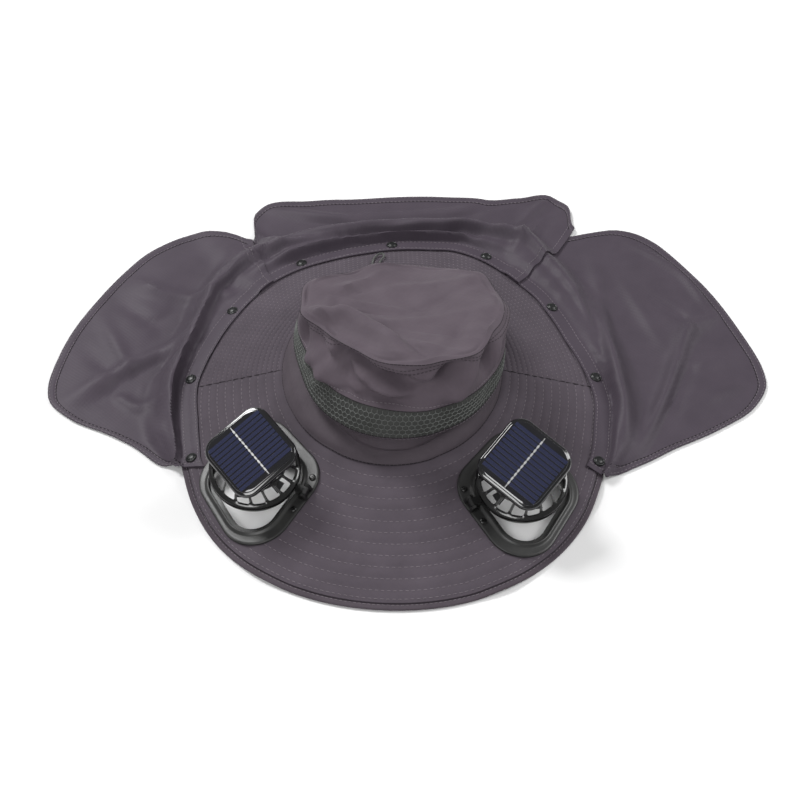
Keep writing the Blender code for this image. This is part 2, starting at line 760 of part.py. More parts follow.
def build_snaps():
    for k in range(SNAP_COUNT):
        line = SNAP_FIRST_ANGLE + (SNAP_LAST_ANGLE - SNAP_FIRST_ANGLE) * k / (SNAP_COUNT - 1)
        reach = STRIP_REACH * read_table(FLAP_FOLDS, 1, line) + SNAP_FROM_EDGE
        profile = (
            (SNAP_RADIUS, 0.0),
            (SNAP_RADIUS, 0.5 * SNAP_HEIGHT),
            (0.7 * SNAP_RADIUS, SNAP_HEIGHT),
        )
        snap = add_node("snap_%d" % (k + 1), turned(profile, 10), "snap_plastic")
        turn = math.degrees(SNAP_RADIUS / reach)
        places = ((0, 0), (0, SNAP_RADIUS), (0, -SNAP_RADIUS), (turn, 0), (-turn, 0))
        seats = []
        for off, further in places:
            seat = direction(line + off) * (reach + further)
            seat.z = strip_top(line + off, reach + further)
            seats.append(seat)
        slope = (seats[1] - seats[2]).normalized()
        up = slope.cross(seats[3] - seats[4]).normalized()
        frame = Matrix((slope, up.cross(slope), up)).transposed().to_4x4()
        rise = max((seat - seats[0]).dot(up) for seat in seats)
        snap.matrix_world = Matrix.Translation(seats[0] + up * (rise + GAP)) @ frame


def build_drawcord():
    """A loop of elastic that comes out of the crown's back and lies on the brim and the flap's strip."""
    knots = []
    for x, y, over in CORD_ROUTE:
        reach = math.hypot(x, y)
        angle = math.degrees(math.atan2(y, x))
        base = brim_top(angle, reach)
        if reach > STRIP_REACH * read_table(FLAP_FOLDS, 1, angle) - 2 * CORD_RADIUS:
            base = strip_top(angle, reach)
        knots.append(Vector((x, y, base + over)))
    points = []
    for k in range(len(knots) - 1):
        before = knots[max(k - 1, 0)]
        after = knots[min(k + 2, len(knots) - 1)]
        for s in range(CORD_POINTS_PER_LEG):
            points.append(curve_point(before, knots[k], knots[k + 1], after, s / CORD_POINTS_PER_LEG))
    points.append(knots[-1])
    curve = bpy.data.curves.new("drawcord", "CURVE")
    curve.dimensions = "3D"
    curve.bevel_depth = CORD_RADIUS
    curve.bevel_resolution = 2
    curve.use_fill_caps = True
    spline = curve.splines.new("POLY")
    spline.points.add(len(points) - 1)
    for spot, point in zip(spline.points, points):
        spot.co = (*point, 1.0)
    curve.materials.append(bpy.data.materials["cord"])
    bpy.context.scene.collection.objects.link(bpy.data.objects.new("drawcord", curve))


def curve_point(p0, p1, p2, p3, share):
    """A point between p1 and p2 on the smooth curve through four points."""
    return 0.5 * (
        2 * p1
        + (p2 - p0) * share
        + (2 * p0 - 5 * p1 + 4 * p2 - p3) * share**2
        + (3 * p1 - p0 - 3 * p2 + p3) * share**3
    )


# Fans


def fan_base(place):
    """Matrix of the fan's seat: its origin on the brim under the fan's middle, +Z square to the brim."""
    x, y = fan_middle(place).xy
    height = fan_plane_height(place, x, y)
    down = fan_fall(place)
    normal = Vector((down.x, down.y, 1.0)).normalized()
    across = (Vector((1, 0, 0)) - normal * normal.x).normalized()
    frame = Matrix((across, normal.cross(across), normal)).transposed().to_4x4()
    return Matrix.Translation(Vector((x, y, height))) @ frame


def flange_top():
    return GAP + FLANGE_THICKNESS


def hinge_spot(side):
    """The middle of the hinge's pin in the seat's frame, and the axis that the head opens about."""
    toward = direction(HINGE_ANGLE)
    height = flange_top() + KNUCKLE_RADIUS + LIP_HEIGHT
    spot = Vector((side * toward.x, toward.y, 0.0)) * HINGE_DISTANCE + Vector((0, 0, height))
    axis = direction(HINGE_ANGLE + 90)
    return spot, Vector((axis.x, side * axis.y, 0.0))


def outline_at(corners, radius, height):
    places = [Vector(corner) * RING_RADIUS for corner in corners]
    return rounded_outline(places, radius, height, 5)


def cut_air_hole(brim, place):
    """Cuts the hole under a fan's flange through the brim."""
    reach = 10 * BRIM_THICKNESS
    loops = []
    for height in (-reach, reach):
        loops.append(grown(outline_at(OPENING_CORNERS, OPENING_CORNER_RADIUS, height), BRIM_HOLE_MARGIN))
    cutter = add_node(place[0] + "_air_hole", flip_side(stack(loops), place[1]), "fabric")
    cutter.matrix_world = fan_base(place)
    cutter.hide_render = True
    cutter.display_type = "WIRE"
    cut = brim.modifiers.new(place[0] + "_air_hole", "BOOLEAN")
    cut.operation = "DIFFERENCE"
    cut.object = cutter


def build_flange(place, seat):
    low = GAP
    top = flange_top()
    lip = top + LIP_HEIGHT
    outer = outline_at(FLANGE_CORNERS, FLANGE_CORNER_RADIUS, 0.0)
    inner = outline_at(OPENING_CORNERS, OPENING_CORNER_RADIUS, 0.0)
    edge = 0.5 * FLANGE_THICKNESS

    def lifted(loop, height):
        return [p + Vector((0, 0, height)) for p in loop]

    loops = [
        lifted(outer, low),
        lifted(outer, low + edge),
        lifted(grown(outer, -edge), top),
        lifted(grown(inner, 2 * LIP_WIDTH), top),
        lifted(grown(inner, LIP_WIDTH), lip),
        lifted(inner, lip),
        lifted(inner, low),
    ]
    add_node(place[0] + "_flange", flip_side(stack(loops, ring=True), place[1]), "black_plastic", seat)


def hinge_frame(side):
    """Rotation from a piece's own frame, X along the pin and Y away from it over the fan, to the seat."""
    spot, axis = hinge_spot(side)
    away = -Vector((spot.x, spot.y, 0.0)).normalized()
    return Matrix((axis, away, Vector((0, 0, 1)))).transposed()


def plate_with_hole(outline, hole_radius, low, high):
    """A plate across the pin's axis with a round hole at the origin. The outline is given as (away, up)
    pairs, one for each side of the hole."""
    sides = len(outline)
    hole = [hole_radius * direction(360.0 * k / sides) for k in range(sides)]
    loops = [
        [Vector((low, y, z)) for y, z in outline],
        [Vector((high, y, z)) for y, z in outline],
        [Vector((high, p.x, p.y)) for p in hole],
        [Vector((low, p.x, p.y)) for p in hole],
    ]
    return stack(loops, ring=True)


def build_hinge(place, seat, tilt):
    """Two ears on the flange, a pin through them, and the head's arm between them."""
    name, side = place[:2]
    spot = hinge_spot(side)[0]
    rotation = hinge_frame(side)
    hole = PIN_RADIUS + PIN_CLEARANCE
    drop = spot.z - flange_top() - GAP
    half = KNUCKLE_WIDTH / 2
    foot = 1.2 * KNUCKLE_RADIUS
    ear = [
        (KNUCKLE_RADIUS, 0.0), (0.7 * KNUCKLE_RADIUS, 0.7 * KNUCKLE_RADIUS), (0.0, KNUCKLE_RADIUS),
        (-0.7 * KNUCKLE_RADIUS, 0.7 * KNUCKLE_RADIUS), (-KNUCKLE_RADIUS, 0.0),
        (-foot, -drop), (0.0, -drop), (KNUCKLE_RADIUS, -drop),
    ]
    for end, way in (("front", side), ("back", -side)):
        near, far = sorted((way * (half + GAP), way * (half + GAP + EAR_THICKNESS)))
        bm = plate_with_hole(ear, hole, near, far)
        bm.transform(Matrix.Translation(spot) @ rotation.to_4x4())
        add_node("%s_hinge_ear_%s" % (name, end), bm, "black_plastic", seat)
    reach = half + EAR_THICKNESS + GAP
    pin = stack([[Vector((x, p.x, p.y)) for p in circle(PIN_RADIUS, 0.0, 10)] for x in (-reach, reach)])
    pin.transform(Matrix.Translation(spot) @ rotation.to_4x4())
    add_node(name + "_hinge_pin", pin, "screw_steel", seat)
    ring = HINGE_DISTANCE - RING_RADIUS - GAP - half**2 / (2 * RING_RADIUS)
    thick = 0.55 * KNUCKLE_RADIUS
    arm = [
        (ring, -thick), (ring, thick), (0.0, KNUCKLE_RADIUS),
        (-0.7 * KNUCKLE_RADIUS, 0.7 * KNUCKLE_RADIUS), (-KNUCKLE_RADIUS, 0.0),
        (-0.7 * KNUCKLE_RADIUS, -0.7 * KNUCKLE_RADIUS), (0.0, -KNUCKLE_RADIUS),
        (0.6 * KNUCKLE_RADIUS, -0.9 * KNUCKLE_RADIUS),
    ]
    bm = plate_with_hole(arm, hole, -half, half)
    bm.transform(rotation.to_4x4())
    add_node(name + "_hinge_arm", bm, "black_plastic", tilt)
    for end, along, out in SCREWS:
        profile = (
            (SCREW_RADIUS, 0.0),
            (SCREW_RADIUS, 0.5 * SCREW_HEIGHT),
            (0.6 * SCREW_RADIUS, SCREW_HEIGHT),
        )
        bm = turned(profile, 10)
        place_on_flange = rotation @ (Vector((side * along, -out, 0.0)) * RING_RADIUS)
        place_on_flange.z = flange_top() + GAP
        bm.transform(Matrix.Translation(place_on_flange))
        add_node("%s_screw_%s" % (name, end), bm, "screw_steel", seat)


def guard_profile(inset):
    """Outer or inner face of the guard, from the ring's foot over its shoulder to the hub."""
    outer = RING_RADIUS - inset
    return (
        (outer, 0.0),
        (outer, RING_HEIGHT - 0.5 * inset),
        (0.90 * RING_RADIUS - 0.5 * inset, RING_HEIGHT + 0.10 * GUARD_RISE - 0.9 * inset),
        (0.73 * RING_RADIUS - 0.2 * inset, RING_HEIGHT + 0.62 * GUARD_RISE - inset),
        (0.67 * RING_RADIUS - 0.1 * inset, RING_HEIGHT + 0.70 * GUARD_RISE - inset),
        (HUB_RADIUS, RING_HEIGHT + GUARD_RISE - inset),
        (0.3 * HUB_RADIUS, RING_HEIGHT + GUARD_RISE - inset),
    )


def build_guard(name, side, middle, tilt):
    """Domed guard over the rotor: a ring, two rows of open cells and a hub in one piece."""
    columns = 2 * GUARD_SPOKES
    spoke_share = 0.30
    grids = []
    for inset in (0.0, GUARD_WALL):
        grid = []
        for k in range(columns):
            cell = 360.0 / GUARD_SPOKES
            angle = cell * (k // 2) + (spoke_share * cell if k % 2 else 0.0)
            row = []
            for place, (radius, height) in enumerate(guard_profile(inset)):
                sweep = GUARD_SWEEP * max(0, place - 2) / 4
                row.append(middle + radius * direction(angle + sweep) + Vector((0, 0, height)))
            grid.append(row)
        grids.append(grid)

    def keep(k, place):
        return k % 2 == 0 or place not in (2, 4)

    bm = shell(grids[0], grids[1], wrap=True, keep=keep)
    add_node(name + "_guard", flip_side(bm, side), "black_plastic", tilt)


def build_rotor(name, side, spin):
    """Hub with five twisted blades, its origin on the shaft."""
    columns = 6 * ROTOR_BLADES
    low = [Vector(p) for p in circle(ROTOR_HUB_RADIUS, 0.0, columns)]
    bm = bmesh.new()
    rows = []
    for height in (0.0, ROTOR_HEIGHT):
        rows.append([bm.verts.new((p.x, p.y, height)) for p in low])
    bm.faces.new(list(reversed(rows[0])))
    bm.faces.new(rows[1])
    for k in range(columns):
        n = (k + 1) % columns
        if k % 6:
            bm.faces.new((rows[0][k], rows[0][n], rows[1][n], rows[1][k]))
            continue
        loop = [rows[0][k], rows[0][n], rows[1][n], rows[1][k]]
        middle = 360.0 * (k + 0.5) / columns
        radial = direction(middle)
        centre = radial * ROTOR_HUB_RADIUS + Vector((0, 0, ROTOR_HEIGHT / 2))
        offsets = [v.co - centre for v in loop]
        for step in (1, 2, 3):
            share = step / 3
            turn = Matrix.Rotation(math.radians(BLADE_PITCH * share), 3, radial)
            stretch = 1 + 0.6 * share
            reach = radial * (ROTOR_RADIUS - ROTOR_HUB_RADIUS) * share
            fresh = []
            for offset in offsets:
                along = offset.dot(direction(middle + 90)) * 0.7
                shape = direction(middle + 90) * along + Vector((0, 0, offset.z * stretch))
                fresh.append(bm.verts.new(centre + reach + turn @ shape))
            for s in range(4):
                t = (s + 1) % 4
                bm.faces.new((loop[s], loop[t], fresh[t], fresh[s]))
            loop = fresh
        bm.faces.new(loop)
    bmesh.ops.triangulate(bm, faces=bm.faces)
    bmesh.ops.recalc_face_normals(bm, faces=bm.faces)
    add_node(name + "_rotor", flip_side(bm, side), "black_plastic", spin)


def build_panel(name, side, middle, tilt):
    """Tray on a neck over the guard's hub, and the solar cell in it."""
    base = RING_HEIGHT + GUARD_RISE + GAP
    turn = Matrix.Rotation(math.radians(PANEL_TURN), 3, "Z")
    forward, outward = PANEL_TILTS[name]
    tilt_panel = Matrix.Rotation(math.radians(forward), 3, "X")
    tilt_panel = tilt_panel @ Matrix.Rotation(math.radians(outward), 3, "Y")
    tray_low = base + TRAY_NECK_HEIGHT
    tray_top = tray_low + TRAY_HEIGHT
    pivot = Vector((0, 0, tray_low))

    def tilted(points):
        return [pivot + tilt_panel @ (turn @ p - pivot) for p in points]

    def loop(size, radius, height):
        return tilted(square(size, radius, height))

    neck = [TRAY_NECK_RADIUS * direction(225.0 + 22.5 * (k + 0.5)) for k in range(16)]
    loops = [
        [turn @ p + Vector((0, 0, base)) for p in neck],
        tilted([p + pivot for p in neck]),
        loop(0.86 * PANEL_SIDE, 0.86 * PANEL_CORNER_RADIUS, tray_low),
        loop(PANEL_SIDE + TRAY_LIP, PANEL_CORNER_RADIUS, tray_low + 0.5 * TRAY_HEIGHT),
        loop(PANEL_SIDE + TRAY_LIP, PANEL_CORNER_RADIUS, tray_low + 0.7 * TRAY_HEIGHT),
        loop(PANEL_SIDE - TRAY_LIP, PANEL_CORNER_RADIUS - TRAY_LIP, tray_top),
    ]
    tray = stack([[middle + p for p in points] for points in loops])
    add_node(name + "_panel_tray", flip_side(tray, side), "black_plastic", tilt)
    size = PANEL_SIDE - TRAY_LIP - CELL_INSET
    radius = PANEL_CORNER_RADIUS - TRAY_LIP
    cell = stack([
        [middle + p for p in loop(size, radius, tray_top + GAP)],
        [middle + p for p in loop(size, radius, tray_top + GAP + 0.6 * CELL_THICKNESS)],
        [middle + p for p in loop(size - CELL_THICKNESS, radius, tray_top + GAP + CELL_THICKNESS)],
    ])
    add_node(name + "_solar_cell", flip_side(cell, side), "solar_cell", tilt)


def build_motor(name, side, middle, tilt):
    high = RING_HEIGHT + GUARD_RISE - GUARD_WALL - GAP
    profile = ((MOTOR_RADIUS, high - MOTOR_HEIGHT), (MOTOR_RADIUS, high))
    bm = turned(profile, 16)
    bm.transform(Matrix.Translation(middle))
    add_node(name + "_motor", flip_side(bm, side), "black_plastic", tilt)


def add_empty(name, parent, matrix):
    empty = bpy.data.objects.new(name, None)
    bpy.context.scene.collection.objects.link(empty)
    empty.parent = parent
    empty.matrix_local = matrix
    return empty


def build_fan(place):
    """One fan: its seat on the brim, the head that tilts on the hinge, and the rotor that spins in it."""
    name, side = place[:2]
    seat = add_empty(name + "_fan_seat", None, fan_base(place))
    build_flange(place, seat)
    spot, axis = hinge_spot(side)
    opened = Matrix.Rotation(math.radians(HEAD_REST_ANGLE), 4, axis)
    tilt = add_empty(name + "_tilt_axis", seat, Matrix.Translation(spot) @ opened)
    build_hinge(place, seat, tilt)
    middle = -HINGE_DISTANCE * direction(HINGE_ANGLE) - Vector((0, 0, KNUCKLE_RADIUS - GAP))
    build_guard(name, side, middle, tilt)
    build_motor(name, side, middle, tilt)
    build_panel(name, side, middle, tilt)
    shaft = Vector((side * middle.x, middle.y, middle.z))
    rotor_low = RING_HEIGHT + GUARD_RISE - GUARD_WALL - 2 * GAP - MOTOR_HEIGHT - ROTOR_HEIGHT
    spin = add_empty(name + "_spin_axis", tilt, Matrix.Translation(shaft + Vector((0, 0, rotor_low))))
    build_rotor(name, side, spin)


def build_materials():
    for name, (colour, roughness, metallic) in MATERIALS.items():
        material = bpy.data.materials.new(name)
        material.use_nodes = True
        shader = material.node_tree.nodes["Principled BSDF"]
        shader.inputs["Base Color"].default_value = (*colour, 1.0)
        shader.inputs["Roughness"].default_value = roughness
        shader.inputs["Metallic"].default_value = metallic


def build_hat():
    for thing in list(bpy.data.objects):
        bpy.data.objects.remove(thing)
    build_materials()
    build_crown()
    build_brim()
    build_flap()
    build_snaps()
    build_drawcord()
    for place in FAN_PLACES:
        build_fan(place)


build_hat()
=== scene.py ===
"""Looks of the solar fan hat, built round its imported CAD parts.

Metres, +Z up, in the CAD model's frame. Angles are degrees round the origin, 0 at +X, 90 at the
back of the hat and 270 at its front. Cloth is remade finely from the CAD solids' own surfaces.
"""

import json
import math
import random
from functools import lru_cache

import bpy
import bmesh
from mathutils import Matrix, Vector

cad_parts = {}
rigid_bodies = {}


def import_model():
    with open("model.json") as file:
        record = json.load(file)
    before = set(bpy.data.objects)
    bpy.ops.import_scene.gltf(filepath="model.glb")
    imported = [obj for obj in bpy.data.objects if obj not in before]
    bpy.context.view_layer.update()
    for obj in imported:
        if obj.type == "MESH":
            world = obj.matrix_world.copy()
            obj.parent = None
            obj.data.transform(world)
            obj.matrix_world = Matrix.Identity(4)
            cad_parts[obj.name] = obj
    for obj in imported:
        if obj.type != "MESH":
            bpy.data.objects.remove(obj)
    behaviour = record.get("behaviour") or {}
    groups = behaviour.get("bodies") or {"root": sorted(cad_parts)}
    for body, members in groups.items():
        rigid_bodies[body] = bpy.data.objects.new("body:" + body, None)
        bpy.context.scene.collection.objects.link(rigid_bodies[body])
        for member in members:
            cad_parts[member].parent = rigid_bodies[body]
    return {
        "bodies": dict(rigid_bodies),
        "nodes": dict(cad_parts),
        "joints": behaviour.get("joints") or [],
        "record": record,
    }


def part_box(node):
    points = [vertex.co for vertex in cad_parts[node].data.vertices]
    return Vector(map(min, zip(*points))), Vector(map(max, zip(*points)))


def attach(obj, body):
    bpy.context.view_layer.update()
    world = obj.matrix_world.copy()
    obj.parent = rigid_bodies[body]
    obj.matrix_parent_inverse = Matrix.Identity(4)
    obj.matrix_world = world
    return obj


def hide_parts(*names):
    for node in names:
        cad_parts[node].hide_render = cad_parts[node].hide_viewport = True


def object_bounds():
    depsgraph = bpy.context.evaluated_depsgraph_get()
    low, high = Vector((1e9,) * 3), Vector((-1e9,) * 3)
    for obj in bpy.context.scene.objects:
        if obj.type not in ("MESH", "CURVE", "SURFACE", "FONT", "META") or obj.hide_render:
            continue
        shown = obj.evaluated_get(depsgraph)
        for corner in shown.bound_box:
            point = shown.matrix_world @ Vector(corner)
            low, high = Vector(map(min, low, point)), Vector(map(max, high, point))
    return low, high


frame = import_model()
cad_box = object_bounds()

# Camera at the photograph's angle
CAMERA_ELEVATION = 47.0
CAMERA_DISTANCE = 1.45
CAMERA_LENS_MM = 78.5
CAMERA_TARGET = Vector((0.0066, -0.0057, 0.0))

# Cloth grids: steps in degrees, points along a line of the flap, cells across the brim
CLOTH_ANGLE_STEP = 1.2
FLAP_LINE_STEP = 1.0
FLAP_POINTS = 104
FRONT_CELLS = 72
BACK_CELLS = 76

# Sewing
FRONT_ROWS = 12
BACK_ROWS = 19
QUILT_PUFF = 0.00060
STITCH_WIDTH = 0.00060
STITCH_RISE = 0.00028
HEM_WIDTH = 0.0060
HEM_STEP = 0.0007
BINDING_ROUNDING = 0.0012
STITCH_FROM_FLANGE = 0.0012
STITCH_SPREAD = (0.92, 1.06)

# Sections of a stitch: place along it, width and lift. Their corners: place across, level
STITCH_SECTIONS = ((-0.5, 0.45, -0.6), (-0.3, 1.0, 0.8), (0.3, 1.0, 0.8), (0.5, 0.45, -0.6))
STITCH_CORNERS = ((-0.5, -0.5), (0.5, -0.5), (0.32, 0.5), (-0.32, 0.5))

# Kinds of stitches, and of the seam lines, which are dark strands of painted shade: length, gap and
# width
CROWN_STITCH = (0.0022, 0.0010, STITCH_WIDTH)
FRONT_STITCH = (0.0029, 0.0017, STITCH_WIDTH)
BACK_STITCH = (0.0015, 0.0026, STITCH_WIDTH)
HEM_STITCH = (0.0024, 0.0012, STITCH_WIDTH)
CROWN_SEAM_SHADE = (0.0031, 0.0, 0.0007)
SIDE_SEAM_SHADE = (0.0055, 0.0005, 0.0009)
HEM_SEAM_SHADE = (0.0036, 0.0, 0.0006)

# Puckers where the flap is gathered onto its strip
PUCKER_PITCH = 5.2
PUCKER_HEIGHT = 0.0016
SOFT_WRINKLE = 0.0046

# Net over the vent band
NET_CELL = 0.0052
NET_STRAND = 0.00050
NET_RISE = 0.0004

# Solar cell
WAFER_ROWS = 11
WAFER_GAP = 0.0010
WAFER_HEIGHT = 0.00012
BUSBAR_WIDTH = 0.0015
# The wafers' field across and along the busbar, as shares of the cell, and the busbar's bare ends
WAFER_FIELD = (0.93, 0.82)
BUSBAR_TAIL = 0.0028
# Section of the resin's domed edge: distance in from the edge, share of its thickness
RESIN_DOME = (
    (0.0, 0.0), (0.0, 0.34), (0.0002, 0.46), (0.0007, 0.60), (0.0016, 0.74), (0.0028, 0.85),
    (0.0042, 0.93), (0.0058, 0.98), (0.0075, 1.0),
)

# Materials: levels of the mottling's noise, scales of the drift of shade, depth of the weave
MOTTLE_SPAN = (0.30, 0.72)
CLOTH_DRIFT_SCALE = 38.0
PLASTIC_DRIFT_SCALE = 60.0
WEAVE_DEPTH = 0.00012

# Floor, world, and soft boxes that face the hat: name, place, size in metres, power in watts
FLOOR_HALF_SIZE = 4.0
FLOOR_COLOUR = (0.93, 0.93, 0.93, 1.0)
WORLD_STRENGTH = 0.27
SOFT_BOXES = (
    ("key", (-1.30, 1.20, 2.05), 0.9, 51.0), ("side", (2.15, 0.45, 1.75), 1.1, 33.0),
    ("front", (-0.70, -2.00, 2.10), 1.1, 29.0),
)

# Fits between pieces
GAP = 0.0003
CLOTH_CLEARANCE = 0.0009

# Head opening and crown
HEAD_HALF_WIDTH = 0.090
HEAD_HALF_LENGTH = 0.104
SEAM_ALLOWANCE = 0.004
CROWN_WALL = 0.0015
CROWN_TOP_HALF_SIZE = 0.079
CROWN_TOP_SHIFT_X = 0.004
CROWN_TOP_SHIFT_Y = -0.007
CROWN_TOP_HEIGHT = 0.102
CROWN_SLUMP = -0.255
LOWER_BAND_SHARE = 0.29
MESH_BAND_SHARE = 0.26
MESH_END = LOWER_BAND_SHARE + MESH_BAND_SHARE
CROWN_BULGE = 0.0015
DENT_DEPTH = 0.010
TOP_FOLD_HEIGHT = 0.009

# Brim
BRIM_REACH = 0.223
BRIM_THICKNESS = 0.0020
BRIM_SEAM_HEIGHT = 0.030
BRIM_EDGE_RISE = 0.012
BINDING_WIDTH = 0.005
BINDING_THICKNESS = 0.0024
FAN_FLAT_HALF_ANGLE = 14.0
FAN_FLAT_BLEND = 10.0

# Neck flap. Its strip is snapped along the brim's edge, so it follows the brim's reach
FLAP_THICKNESS = 0.0012
STRIP_REACH = 0.7175 * BRIM_REACH
STRIP_WIDTH = 0.0142
FLAP_LENGTH = 0.160
FOLD_RISE = 0.027
FOLD_SHOULDER = 0.005
FOLD_RUN = 0.026
EDGE_OVERHANG = 0.004
EDGE_FALL = 0.5
LAP_LIFT = FLAP_THICKNESS + CLOTH_CLEARANCE
LAP_BLEND = 3.0

# Snaps on the flap strip
SNAP_COUNT = 9
SNAP_FIRST_ANGLE = -25.6
SNAP_LAST_ANGLE = 206.0
SNAP_RADIUS = 0.0048
SNAP_HEIGHT = 0.0022
# Section of a cap: shares of its radius and height
SNAP_PROFILE = (
    (1.0, 0.0), (1.0, 0.30), (0.95, 0.52), (0.84, 0.70), (0.80, 0.68), (0.74, 0.55), (0.68, 0.66),
    (0.60, 0.82), (0.40, 0.94), (0.15, 1.0),
)

# Drawcord loop behind the crown
CORD_RADIUS = 0.0009
CORD_STEPS = 5

# Fan seats on the brim: name, side, middle across and back as shares of BRIM_REACH, and the way the
# brim falls there in degrees
FAN_PLACES = (("right", 1, 0.444, -0.526, -41.0), ("left", -1, -0.4664, -0.4753, -141.0))
RING_RADIUS = 0.0360
FLANGE_THICKNESS = 0.0020
FLANGE_TOP = GAP + FLANGE_THICKNESS
LIP_HEIGHT = 0.0015
LIP_WIDTH = 0.0016
FLANGE_CORNER_RADIUS = 0.030
OPENING_CORNER_RADIUS = 0.022
FLANGE_CORNER_STEPS = 14
# Lip round the opening: distance out from it in LIP_WIDTH, rise in LIP_HEIGHT
FLANGE_LIP = ((2.6, 0.0), (1.9, 0.12), (1.25, 0.75), (0.85, 1.0), (0.25, 1.0))
# Low step inside the opening, where the two halves of the flange clip together
LEDGE_WIDTH = 0.0035
BRIM_HOLE_MARGIN = 0.0015
SCREW_RADIUS = 0.0026
SCREW_HEIGHT = 0.0012
SCREW_SIDES = 32
# Section of a screw's head: shares of its radius and height, and where it has the cross recess
SCREW_PROFILE = (
    (1.0, 0.0, False), (1.0, 0.35, False), (0.93, 0.62, False), (0.75, 0.86, False),
    (0.5, 1.0, False), (0.34, 1.0, True), (0.16, 0.55, True),
)

# Hinges
HINGE_ANGLE = 207.0
HINGE_DISTANCE = RING_RADIUS + 0.0075
KNUCKLE_RADIUS = 0.0030
HEAD_REST_ANGLE = 12.0

# Fan heads
RING_HEIGHT = 0.0055
GUARD_WALL = 0.0018
GUARD_RISE = 0.0170
GUARD_SPOKES = 16
GUARD_SWEEP = 14.0
# Points across a rib and across an open cell, as shares of their pitch
GUARD_RIB = (0.0, 0.10, 0.20)
GUARD_CELL = (0.36, 0.52, 0.68, 0.84)
HUB_RADIUS = 0.0130
PANEL_SIDE = 0.0570
PANEL_CORNER_RADIUS = 0.0130
PANEL_CORNER_STEPS = 11
PANEL_TURN = -39.0
PANEL_TILTS = {"right": (13.0, 2.0), "left": (10.0, 9.0)}
TRAY_HEIGHT = 0.0075
TRAY_NECK_HEIGHT = 0.0050
TRAY_NECK_RADIUS = 0.0110
TRAY_LIP = 0.0015
TRAY_BASE = RING_HEIGHT + GUARD_RISE + GAP
# Section of the tray: shares of PANEL_SIDE and PANEL_CORNER_RADIUS, what TRAY_LIP adds to each, and
# share of TRAY_HEIGHT
TRAY_SECTION = (
    (0.78, 0.80, 0.0, 0.0, 0.0), (0.86, 0.86, 0.0, 0.0, 0.02), (0.96, 0.95, 0.0, 0.0, 0.25),
    (1.0, 1.0, 0.8, 0.0, 0.45), (1.0, 1.0, 1.0, 0.0, 0.60), (1.0, 1.0, 0.9, 0.0, 0.74),
    (1.0, 1.0, 0.3, -0.3, 0.90), (1.0, 1.0, -1.0, -1.0, 1.0),
)
CELL_THICKNESS = 0.0016
CELL_INSET = 0.0022

# CAD pieces that stay: node, material, softening of their edges in metres
DRESSED = (
    ("hinge_arm", "hinge", 0.0004), ("hinge_ear_front", "hinge", 0.0004),
    ("hinge_ear_back", "hinge", 0.0004), ("hinge_pin", "screw", 0.0002),
    ("motor", "motor", 0.0004), ("rotor", "rotor", 0.0004),
)

# Brim outline: angle, reach as a share of BRIM_REACH, rise of the edge as a share of BRIM_EDGE_RISE
BRIM_OUTLINE = (
    (0, 0.794, 0.30), (22, 0.772, 0.70), (45, 0.776, 1.00), (68, 0.806, 1.00), (90, 0.790, 0.95),
    (112, 0.772, 0.85), (136, 0.778, 0.65), (160, 0.780, 0.40), (180, 0.789, 0.20),
    (196, 0.806, 0.10), (208, 0.846, 0.00), (220, 0.897, 0.00), (232, 0.943, 0.00),
    (244, 0.972, 0.00), (262, 0.990, 0.00), (280, 0.996, 0.00), (292, 0.990, 0.00),
    (304, 0.965, 0.00), (316, 0.925, 0.00), (328, 0.873, 0.00), (342, 0.820, 0.10),
)

# Crown wall dents: angle, level from seam to top, spread in degrees, spread in level, depth share
CROWN_DENTS = (
    (236, 0.84, 13, 0.13, 0.90), (258, 0.68, 16, 0.12, 0.60), (300, 0.80, 14, 0.13, 0.50),
    (322, 0.84, 13, 0.12, 0.45), (190, 0.42, 34, 0.28, 1.00), (5, 0.85, 34, 0.20, -0.60),
    (225, 0.17, 26, 0.08, 0.40), (305, 0.15, 24, 0.08, 0.40), (90, 0.45, 60, 0.25, -0.90),
)

# Rim of the crown's top: angle round its middle, reach as a share of its half size
TOP_RIM = (
    (0, 1.05), (25, 1.12), (50, 1.14), (75, 1.08), (95, 1.02), (125, 0.98), (150, 1.00),
    (172, 0.95), (186, 0.89), (202, 0.81), (225, 0.78), (240, 0.80), (256, 0.87), (272, 0.94),
    (290, 1.03), (310, 1.06), (335, 1.05),
)

# Folds in the crown's top: place across and along, direction in degrees, half length and half
# width, height share. Lengths are shares of the top's half size
TOP_FOLDS = (
    (-0.66, -0.14, 2, 0.36, 0.15, 0.95), (-0.30, -0.33, -40, 0.34, 0.15, 0.85),
    (-0.02, -0.66, -68, 0.30, 0.15, 0.50), (0.15, 0.20, 0, 0.60, 0.50, -0.45),
    (0.72, 0.30, 110, 0.45, 0.18, 0.30),
)

